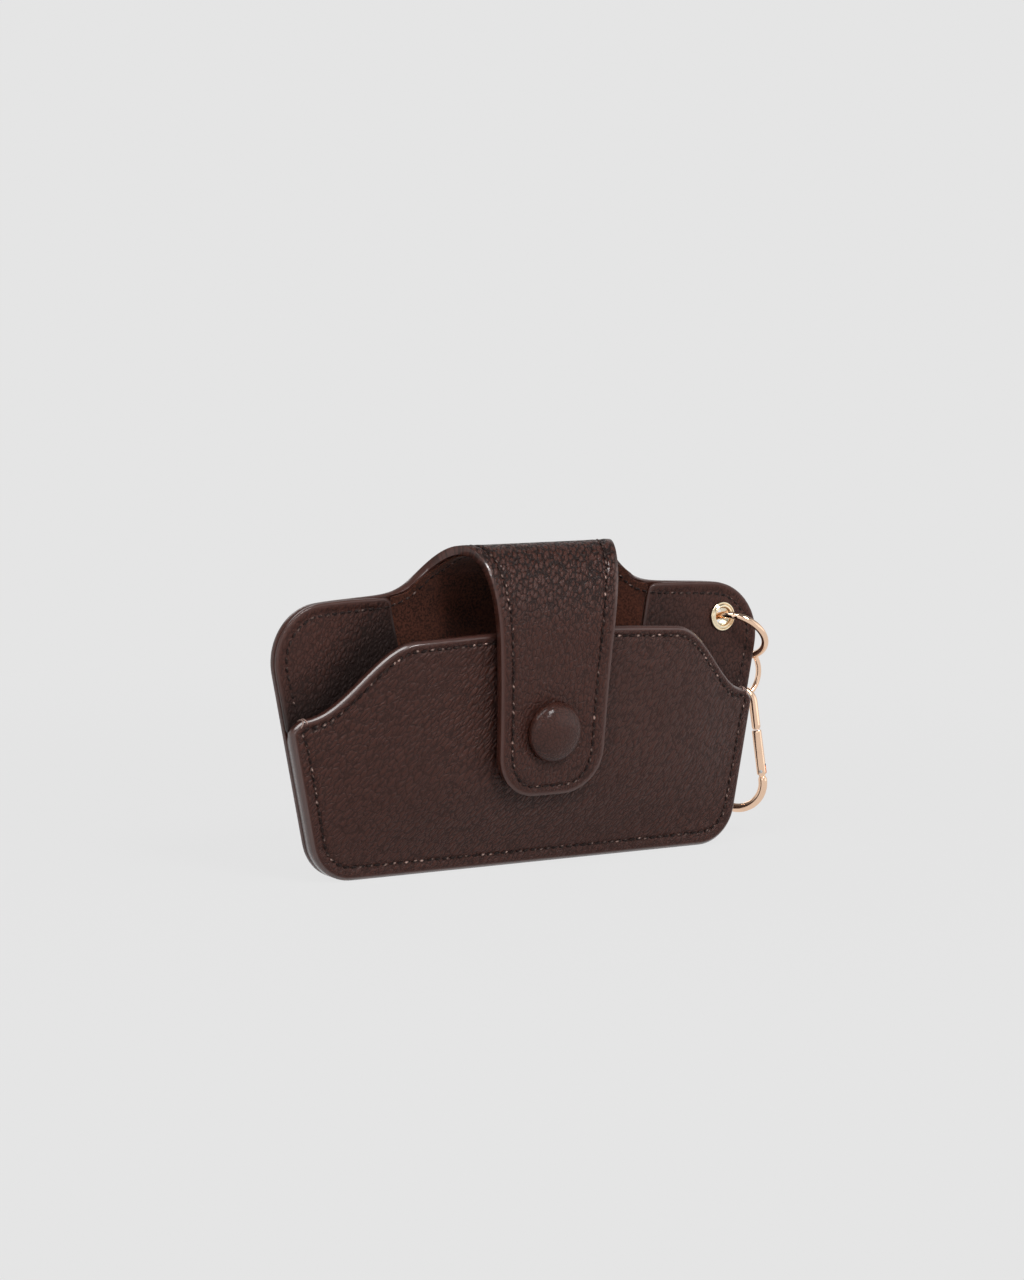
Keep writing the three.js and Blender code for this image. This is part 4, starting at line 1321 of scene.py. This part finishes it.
def sew(name, line, put, sizes, seed, shine=1.0):
    """A row of stitches along a line of the pattern, as one piece."""
    co, faces = one_stitch()
    draw = np.random.default_rng(seed)
    step = 0.3 * MM
    points, polygons, painted_glints = [], [], []
    for (u, v), (du, dv) in line:
        here = put(np.array([u]), np.array([v]), 0.0)[0]
        ahead = put(np.array([u + du * step]), np.array([v + dv * step]), 0.0)[0] - here
        out = here - put(np.array([u]), np.array([v]), step)[0]
        x = ahead / np.linalg.norm(ahead)
        z = out - (out @ x) * x
        z /= np.linalg.norm(z)
        y = np.cross(z, x)
        lean = math.radians(7) + draw.normal(0, 0.04)
        along = x * math.cos(lean) + y * math.sin(lean)
        aside = y * math.cos(lean) - x * math.sin(lean)
        size = np.array(sizes) * (1 + draw.normal(0, 0.05, 3))
        stitch = co * size
        world = here + stitch[:, :1] * along + stitch[:, 1:2] * aside + stitch[:, 2:] * z
        base = len(points) * len(co)
        points.append(world)
        # Painted glints: a light speck at a random place on the top of each stitch, of random
        # strength, scaled by shine.
        at, beside = draw.choice([-0.31, 0.0, 0.31]), draw.choice([-0.35, 0.0, 0.35])
        painted_speck = np.exp(-(((co[:, 0] - at) / 0.13) ** 2) - ((co[:, 1] - beside) / 0.3) ** 2)
        painted_glints.append(painted_speck * (co[:, 2] > -0.3) * shine * draw.uniform(0, 1.25) ** 2.2)
        polygons.extend([[base + i for i in face] for face in faces])
    mesh = bpy.data.meshes.new(name)
    mesh.from_pydata(np.vstack(points).tolist(), [], polygons)
    mesh.validate()
    piece = bpy.data.objects.new(name, mesh)
    bpy.context.collection.objects.link(piece)
    note(piece, "crown", np.concatenate(painted_glints))
    outward(piece)
    smooth(piece)
    return piece


def stitch_places(line, pitch):
    """Middle and direction of each stitch along a closed line."""
    points = resample(line, pitch, closed=True)
    return list(zip(points, ahead_of(points)))


def corner_tack(form, side, inset, lean, reach):
    """One thread loop over the mouth's edge, from the pocket's seam to the facing behind."""
    u = form.side(form.side_top) - inset
    outline = form.front_half()[len(form.foot()):]
    edge = float(np.interp(-u, -outline[:, 0], outline[:, 1]))
    face = float(form.pocket(np.array([u]), np.array([edge - 1 * MM]))[0, 1])
    steps = np.linspace(-0.3 * math.pi, 1.15 * math.pi, 20)
    depth = face + 1.45 * MM - 1.6 * MM * np.cos(steps)
    rise = -0.75 * MM + 0.9 * MM * np.sin(steps) - reach * np.clip(-steps, 0, 2)
    line = np.stack([-depth, np.zeros(20), rise], 1)
    piece = tube("corner_tack", line, np.full(20, 0.22 * MM), 8)
    turn_to = Matrix.Rotation(side * lean, 4, "Y") @ Matrix.Rotation(-math.pi / 2, 4, "Z")
    place(piece, Matrix.Translation((side * u, 0, edge)) @ turn_to)
    # The whole loop is mixed 0.6 of the way towards the thread's light tone.
    note(piece, "crown", np.full(len(piece.data.vertices), 0.6))
    smooth(piece)
    return piece


class CASE_OT_stitching(bpy.types.Operator):
    """Sews a row of stitches along every edge"""

    bl_idname = "glasses_case.stitching"
    bl_label = "Stitching"

    def execute(self, context):
        work = shop()
        form = work.form
        pitch = form.s.stitch_pitch
        thread = work.finish("thread")
        size = (2.35 * MM, 0.9 * MM, 0.85 * MM)

        outline = front_outline(form)
        row = stitch_places(offset_line(outline, front_insets(form, outline)), pitch)
        on_pocket = lambda u, v, depth: form.pocket(u, v, THREAD_SINK + depth)
        inset = lambda u, v: form.side(v) - abs(u)
        doubled = [
            ((u, v - 1.0 * MM), ahead) for (u, v), ahead in row
            if v > form.side_top - 3.4 * MM and 5.5 * MM < inset(u, v) < 15 * MM
        ]
        piece = sew("pocket_stitching", row + doubled, on_pocket, size, 3)
        finish_piece(piece, thread, "brown_leather", "pouch")
        tacks = [
            corner_tack(form, side, *loop) for side in (1, -1)
            for loop in ((5.0 * MM, 0.5, 0.3 * MM), (4.3 * MM, -0.3, 1.1 * MM))
        ]
        make_active(tacks[0])
        for tack in tacks:
            tack.select_set(True)
        bpy.ops.object.join()
        finish_piece(start_piece("corner_tacks"), thread, "brown_leather", "pouch")

        outline = back_outline(form)
        row = stitch_places(offset_line(outline, back_insets(form, outline)), pitch)
        fold_end = form.fold + FOLD_REACH
        on_back = [stitch for stitch in row if stitch[0][1] < form.fold]
        on_fold = [stitch for stitch in row if form.fold <= stitch[0][1] < fold_end]
        on_strap = [stitch for stitch in row if stitch[0][1] >= fold_end]
        low = form.mouth - form.s.mouth_side_drop - 2 * MM
        above = [stitch for stitch in on_back if stitch[0][1] > low]

        def on_outer(u, v, depth):
            return form.outer(u, v, THREAD_SINK + depth)

        def on_inside(u, v, depth):
            on_facing = (v < FACING_TOP) & (np.abs(u) > form.facing_edge(v))
            face = np.where(on_facing, facing_depth(form, u, v), suede_depth(form, v))
            return form.outer(u, v, face - 0.12 * MM - depth)

        # shine sets how strong the painted glints on each row are.
        for name, stitches, put, body, seed, shine in (
            ("back_stitching", on_back, on_outer, "pouch", 5, 1.0),
            ("fold_stitching", on_fold, on_outer, "strap_fold", 6, 1.0),
            ("strap_stitching", on_strap, on_outer, "strap", 7, 1.0),
            ("facing_stitching", above, on_inside, "pouch", 9, 0.35),
            ("fold_inner_stitching", on_fold, on_inside, "strap_fold", 10, 0.3),
            ("strap_inner_stitching", on_strap, on_inside, "strap", 11, 0.3),
        ):
            piece = sew(name, stitches, put, size, seed, shine)
            finish_piece(piece, thread, "brown_leather", body)
        return {"FINISHED"}


def snap_place(form):
    """The snap's own frame: Z points forwards out of the pocket, from the pocket's face."""
    height = form.mouth - SNAP_DROP
    at = np.array(height)
    axis = Vector((0, -1, float(form.pocket_slope(at)))).normalized()
    side = Vector((1, 0, 0))
    place_at = Matrix.Translation((form.s.strap_offset, float(form.pocket_face(at)), height))
    return place_at @ axes_to(side, axis.cross(side), axis)


def crown(radius, foot, top, steps=14):
    """Profile of a crowned disc, from its rim's foot to the middle of its crown."""
    turns = np.linspace(0, math.pi / 2, 2 * steps)
    return np.stack([radius * np.cos(turns) ** 0.92, foot + (top - foot) * np.sin(turns)], 1)


# Profiles of the turned metal parts: radius and height in millimetres, in the part's own frame.
SOCKET_PROFILE = (
    (3.7, 0.95), (3.9, 0.75), (4.6, 0.62), (5.3, 0.66), (5.7, 0.85), (5.7, 2.45), (5.5, 2.55),
    (1.8, 2.55), (1.8, 2.05), (5.2, 2.05), (5.2, 1.25), (3.9, 1.25),
)
STUD_PROFILE = (
    (1.3, 0.3), (3.2, 0.3), (3.4, 0.42), (3.3, 0.62), (2.2, 0.72), (1.95, 0.9), (2.1, 1.15),
    (2.3, 1.4), (2.22, 1.68), (1.95, 1.86), (1.5, 1.9), (1.3, 1.82),
)
RIVET_PROFILE = (
    (0, -3.75), (2.6, -3.72), (3.6, -3.55), (4.0, -3.3), (3.9, -3.15), (1.1, -3.15),
    (1.0, -3.0), (1.0, 1.75), (0.85, 1.88), (0, 1.9),
)
EYELET_PROFILE = (
    (4.62, -2.3), (4.7, -2.45), (4.68, -2.72), (4.52, -2.92), (4.28, -2.98), (4.08, -2.9),
    (3.98, -2.82), (3.86, -2.9), (3.66, -3.1), (3.38, -3.2), (3.1, -3.14), (2.9, -2.95),
    (2.78, -2.7), (2.75, -2.42), (2.75, 1.6), (2.85, 1.95), (3.15, 2.0), (3.2, 1.8), (3.2, -2.3),
)
PIN_PROFILE = (
    (0, -1.62), (0.42, -1.6), (0.62, -1.5), (0.62, -1.35), (0.5, -1.3), (0.5, 1.3),
    (0.62, 1.35), (0.62, 1.5), (0.42, 1.6), (0, 1.62),
)


class CASE_OT_snap(bpy.types.Operator):
    """Makes the covered button, the socket in the strap and the stud and rivet on the pocket"""

    bl_idname = "glasses_case.snap"
    bl_label = "Snap button"

    def execute(self, context):
        work = shop()
        form = work.form
        where = snap_place(form)
        foot = form.s.strap_gap + form.s.strap_thickness + 0.3 * MM
        outside = crown(9.4 * MM, foot, foot + 4.6 * MM)
        inside = crown(8.6 * MM, foot + 0.1 * MM, foot + 3.4 * MM)[::-1]
        tuck = [(8.9 * MM, foot - 0.3 * MM), (9.3 * MM, foot - 0.25 * MM)]
        cover = turned("button_leather", np.vstack([inside, tuck, outside]), 96)
        place(cover, where)
        note(cover, "rim", np.zeros(len(cover.data.vertices)))
        smooth(cover, 70)
        hide = work.finish("button_leather")
        finish_piece(cover, hide, "brown_leather", "strap", "snap_cap_cover")
        for name, profile, steps, body, node in (
            ("socket_metal", SOCKET_PROFILE, 64, "strap", "snap_socket"),
            ("stud_metal", STUD_PROFILE, 64, "pouch", "snap_stud"),
            ("rivet_metal", RIVET_PROFILE, 48, "pouch", "snap_stud_rivet"),
        ):
            piece = turned_piece(name, profile, steps, where)
            finish_piece(piece, work.finish("gold"), "gold_metal", body, node)
        return {"FINISHED"}


def eyelet_place(form):
    """The eyelet's own frame: Z points out of the back."""
    height = form.s.shoulder_height - EYELET_DROP
    x = float(form.half_width(height)) - EYELET_INSET
    y = float(form.back(np.array([x]), np.array([height]))[0])
    axis = Vector((0, math.cos(form.s.lean), -math.sin(form.s.lean)))
    side = Vector((1, 0, 0))
    return Matrix.Translation((x, y, height)) @ axes_to(side, axis.cross(side), axis)


class CASE_OT_eyelet(bpy.types.Operator):
    """Sets the rolled eyelet and its washer in the right corner"""

    bl_idname = "glasses_case.eyelet"
    bl_label = "Eyelet"

    def execute(self, context):
        work = shop()
        where = eyelet_place(work.form)
        roll = [(math.cos(a), math.sin(a)) for a in np.linspace(0, math.pi, 17)]
        domed = [(4.0 + 0.7 * c, 1.4 + 0.6 * s) for c, s in roll]
        for name, profile, node in (
            ("eyelet_metal", EYELET_PROFILE, "eyelet"),
            ("washer_metal", [(4.7, 1.3), *domed, (3.5, 1.3)], "eyelet_washer"),
        ):
            piece = turned_piece(name, profile, 72, where)
            finish_piece(piece, work.finish("pale_gold"), "gold_metal", "pouch", node)
        return {"FINISHED"}


def wire_ring(name, radius, wire, matrix, join_at):
    """A ring of round wire, its two ends butted together in a fine line."""
    deselect()
    bpy.ops.mesh.primitive_torus_add(
        major_radius=radius, minor_radius=wire / 2, major_segments=120, minor_segments=24
    )
    piece = start_piece(name)
    co = corners(piece)
    around = np.arctan2(co[:, 1], co[:, 0])
    gap = np.abs((around - join_at + math.pi) % (2 * math.pi) - math.pi)
    core = np.stack([np.cos(around) * radius, np.sin(around) * radius, np.zeros(len(co))], 1)
    pinch = np.where(gap < 1e-3, 0.78, 1.0)[:, None]
    set_corners(piece, core + (co - core) * pinch)
    place(piece, matrix)
    smooth(piece)
    return piece


RING_CENTRE = Vector((82.495, 2.5959, 66.2386)) * MM
RING_TILT, RING_TWIST = math.radians(43), math.radians(25)
LINK_CENTRE = Vector((87.9197, 6.3049, 53.0651)) * MM
LINK_TURN = math.radians(8)


class CASE_OT_rings(bpy.types.Operator):
    """Hangs the eyelet ring and the connector ring"""

    bl_idname = "glasses_case.rings"
    bl_label = "Rings"

    def execute(self, context):
        gold = shop().finish("gold")
        out = Vector((math.cos(RING_TILT), 0, -math.sin(RING_TILT)))
        up = Vector((math.sin(RING_TILT), 0, math.cos(RING_TILT)))
        front = Vector((0, -math.cos(RING_TWIST), 0)) + up * math.sin(RING_TWIST)
        where = Matrix.Translation(RING_CENTRE) @ axes_to(out, front, out.cross(front))
        ring = wire_ring("ring_metal", 9.914 * MM, 2.3 * MM, where, math.pi * 0.8)
        finish_piece(ring, gold, "gold_metal", "ring", "eyelet_ring")
        along = Vector((math.cos(LINK_TURN), math.sin(LINK_TURN), 0))
        up = Vector((0, 0, 1))
        where = Matrix.Translation(LINK_CENTRE) @ axes_to(along, up, along.cross(up))
        link = wire_ring("connector_metal", 8.1 * MM, 1.8 * MM, where, math.pi * 0.9)
        finish_piece(link, gold, "gold_metal", "link", "connector_ring")
        return {"FINISHED"}


CLIP_WIRE = 2.9 * MM
HEAD_RADIUS, FOOT_RADIUS = 4.35 * MM, 8.35 * MM
HEAD_Z, FOOT_Z = -1.70 * MM, -28.10 * MM
SLANT = math.asin((FOOT_RADIUS - HEAD_RADIUS) / (HEAD_Z - FOOT_Z))
GATE_LENGTH = 15.5 * MM
CLIP_PIVOT = Vector((87.9197, 6.3049, 44.9651)) * MM
HEEL_RISE = 1.2 * MM


def clip_place():
    """The clip's own frame, at its pivot on the connector ring."""
    return Matrix.Translation(CLIP_PIVOT) @ Matrix.Rotation(math.radians(-45), 4, "Z")


def gate_place():
    """The gate's own frame: Z runs up the clip's right side from its heel."""
    heel = Vector((FOOT_RADIUS * math.cos(SLANT), 0, FOOT_Z + FOOT_RADIUS * math.sin(SLANT)))
    heel += Vector((-math.sin(SLANT), 0, math.cos(SLANT))) * HEEL_RISE
    return clip_place() @ Matrix.Translation(heel) @ Matrix.Rotation(-SLANT, 4, "Y")


def clip_line():
    """The frame's wire line, from the gate's top over the head and round the foot to the heel."""
    arc = lambda radius, z, a: (radius * math.cos(a), 0, z + radius * math.sin(a))
    up = np.array([-math.sin(SLANT), 0, math.cos(SLANT)])
    heel = np.array(arc(FOOT_RADIUS, FOOT_Z, SLANT)) + up * HEEL_RISE
    top = heel + up * (GATE_LENGTH + 0.35 * MM)
    far_side = math.pi - SLANT
    head = [arc(HEAD_RADIUS, HEAD_Z, a) for a in np.linspace(SLANT, far_side, 28)]
    round_foot = np.linspace(far_side, 2 * math.pi + SLANT, 44)
    foot = [arc(FOOT_RADIUS, FOOT_Z, a) for a in round_foot]
    return resample(np.vstack([[top], head, foot, [heel]]), 0.7 * MM)


def tube(name, line, radii, sides=28, square=1.0):
    """Wire of changing radius along a flat line, closed at its ends; square below 1 squares it."""
    deselect()
    bpy.ops.mesh.primitive_cylinder_add(vertices=sides, radius=1, depth=1, end_fill_type="NGON")
    piece = start_piece(name)
    edit(piece, "EDGE")
    bpy.ops.mesh.select_all(action="DESELECT")
    object_mode()
    for edge in piece.data.edges:
        ends = [piece.data.vertices[i].co.z for i in edge.vertices]
        edge.select = abs(ends[0] - ends[1]) > 0.5
    bpy.ops.object.mode_set(mode="EDIT")
    bpy.ops.mesh.subdivide(number_cuts=len(line) - 2)
    object_mode()
    co = corners(piece)
    index = np.rint((co[:, 2] + 0.5) * (len(line) - 1)).astype(int)
    aside = np.array([0.0, 1.0, 0.0])
    away = np.cross(aside, unit(np.gradient(line, axis=0)))
    r = np.asarray(radii)[index][:, None]
    co[:, :2] = np.sign(co[:, :2]) * np.abs(co[:, :2]) ** square
    set_corners(piece, line[index] + r * (co[:, :1] * away[index] + co[:, 1:2] * aside))
    outward(piece)
    return piece


def round_ends(near_end, reach):
    """0 at a wire's ends and 1 from a short reach inwards, round between them."""
    return np.sqrt(np.clip(1 - (1 - np.clip(near_end / reach, 0, 1)) ** 2, 0, 1))


def joined_block(piece, operation, size, rise=0.0, bevel=0.0, where=None):
    """Adds a block to a piece or cuts it out; its size and rise are in millimetres."""
    deselect()
    bpy.ops.mesh.primitive_cube_add(size=1)
    tool = start_piece("clip_block")
    set_corners(tool, corners(tool) * np.array(size) * MM + np.array([0, 0, rise]) * MM)
    if bevel:
        apply(tool, "BEVEL", width=bevel, segments=3, limit_method="ANGLE")
    if where:
        place(tool, where)
    apply(piece, "BOOLEAN", operation=operation, object=tool, solver="EXACT")
    bpy.data.objects.remove(tool, do_unlink=True)


class CASE_OT_clip(bpy.types.Operator):
    """Bends the clip's frame and fits its gate and pin"""

    bl_idname = "glasses_case.clip"
    bl_label = "Clip"

    def execute(self, context):
        work = shop()
        gold = work.finish("gold")
        on_gate = gate_place()
        line = clip_line()
        runs = runs_along(line)
        ease = round_ends(np.minimum(runs, runs[-1] - runs), 0.5 * MM)
        piece = tube("clip_frame_metal", line, CLIP_WIRE / 2 * (0.8 + 0.2 * ease))
        place(piece, clip_place())
        joined_block(piece, "UNION", (2.0, 1.1, 4.35), 0.725, 0.3 * MM, on_gate)
        smooth(piece, 40)
        finish_piece(piece, gold, "gold_metal", "clip", "clip_frame")

        start = 0.75 * MM
        line = np.zeros((40, 3))
        line[:, 2] = np.linspace(start, GATE_LENGTH, 40)
        ease = round_ends(np.minimum(line[:, 2] - start, GATE_LENGTH - line[:, 2]), 0.4 * MM)
        gate = tube("clip_gate_metal", line, CLIP_WIRE / 2 * (0.92 + 0.14 * ease), 32, 0.6)
        joined_block(gate, "DIFFERENCE", (8, 1.7, 8.4))
        place(gate, on_gate)
        smooth(gate, 40)
        finish_piece(gate, gold, "gold_metal", "gate", "clip_gate")

        across = Matrix.Translation((0, 0, 1.9 * MM)) @ Matrix.Rotation(math.pi / 2, 4, "X")
        pin = turned_piece("pin_metal", PIN_PROFILE, 32, on_gate @ across, 40)
        finish_piece(pin, work.finish("steel"), "steel_wire", "clip", "gate_pin")
        return {"FINISHED"}


class CASE_OT_inner_parts(bpy.types.Operator):
    """Gives the boards and hidden snap and clip parts of the solid model their finishes"""

    bl_idname = "glasses_case.inner_parts"
    bl_label = "Inner parts"

    def execute(self, context):
        work = shop()
        finishes = {
            "back_board": "board", "front_board": "board", "strap_stiffener": "board",
            "snap_cap": "gold", "snap_spring": "steel",
            "gate_plunger": "steel", "gate_spring": "steel",
        }
        for node, name in finishes.items():
            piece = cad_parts[node]
            for slot in piece.material_slots:
                slot.material = work.finish(name)
        return {"FINISHED"}


# Stage

CAMERA_PLACE = Vector((-609.65, -925.23, 213.35)) * MM
CAMERA_RIGHT = Vector((0.83867, -0.54424, 0.02091))
CAMERA_UP = Vector((0.05277, 0.11941, 0.99144))
CAMERA_BACK = -Vector((0.54208, 0.83038, -0.12886))
CAMERA_LENS = 101

# Name, place, target, size and power of each lamp.
LAMPS = (
    ("key", (0.1, -0.86, 0.98), (0, 0, 0.05), (0.3, 0.3), 6.4),
    ("left", (-1.0, -0.9, 0.55), (0, 0, 0.05), (0.8, 0.8), 1.5),
    ("right", (1.1, -0.95, 0.6), (0, 0, 0.05), (1.5, 1.5), 4.5),
    ("rear", (0.16, 1.36, 0.86), (0, 0, 0.05), (0.85, 0.4), 2.2),
    ("strip", (-0.68, -0.28, 1.08), (-0.68, 0, 0.05), (1.1, 0.26), 6.0),
    ("glint", (-0.03, -1.09, 0.75), (-0.03, 0, 0.05), (0.24, 0.1), 1.0),
)


def soft_light(name, centre, target, size, power):
    """A large soft lamp that faces a target."""
    data = bpy.data.lights.new(name, "AREA")
    data.shape = "RECTANGLE"
    data.size, data.size_y = size
    data.energy = power
    lamp = bpy.data.objects.new(name, data)
    bpy.context.collection.objects.link(lamp)
    lamp.location = centre
    lamp.rotation_euler = (Vector(target) - Vector(centre)).to_track_quat("-Z", "Y").to_euler()


class CASE_OT_stage(bpy.types.Operator):
    """Sets the camera, the pale floor and soft studio light"""

    bl_idname = "glasses_case.stage"
    bl_label = "Stage"

    def execute(self, context):
        backdrop = shop().colours.backdrop
        scene = context.scene
        scene.view_settings.view_transform = "Standard"
        data = bpy.data.cameras.new("camera")
        data.lens = CAMERA_LENS
        data.sensor_width = 36
        data.clip_end = 50
        camera = bpy.data.objects.new("camera", data)
        scene.collection.objects.link(camera)
        turn_to = axes_to(CAMERA_RIGHT, CAMERA_UP, CAMERA_BACK)
        camera.matrix_world = Matrix.Translation(CAMERA_PLACE) @ turn_to
        scene.camera = camera

        deselect()
        bpy.ops.mesh.primitive_plane_add(size=40, location=(0, 0, -0.0002))
        floor = start_piece("floor")
        floor.data.materials.append(floor_finish(backdrop))
        scene.world = studio_world(backdrop)
        for lamp in LAMPS:
            soft_light(*lamp)
        return {"FINISHED"}


# Add-on

STEPS = (
    CASE_OT_stage, CASE_OT_back_and_strap, CASE_OT_front_pocket, CASE_OT_corner_facings,
    CASE_OT_linings, CASE_OT_stitching, CASE_OT_snap, CASE_OT_eyelet, CASE_OT_rings,
    CASE_OT_clip, CASE_OT_inner_parts,
)


class CASE_PT_panel(bpy.types.Panel):
    """Lists the steps that make the case"""

    bl_idname = "CASE_PT_panel"
    bl_label = "Glasses case"
    bl_space_type = "VIEW_3D"
    bl_region_type = "UI"
    bl_category = "Glasses case"

    def draw(self, context):
        for step in STEPS:
            self.layout.operator(step.bl_idname)


CLASSES = (CaseSizes, CaseColours, *STEPS, CASE_PT_panel)


def register():
    for item in CLASSES:
        bpy.utils.register_class(item)
    bpy.types.Scene.case_sizes = PointerProperty(type=CaseSizes)
    bpy.types.Scene.case_colours = PointerProperty(type=CaseColours)


def unregister():
    del bpy.types.Scene.case_sizes
    del bpy.types.Scene.case_colours
    for item in reversed(CLASSES):
        bpy.utils.unregister_class(item)


def main():
    """Makes every piece in order."""
    register()
    for step in STEPS:
        group, name = step.bl_idname.split(".")
        getattr(getattr(bpy.ops, group), name)()


if __name__ == "__main__":
    main()
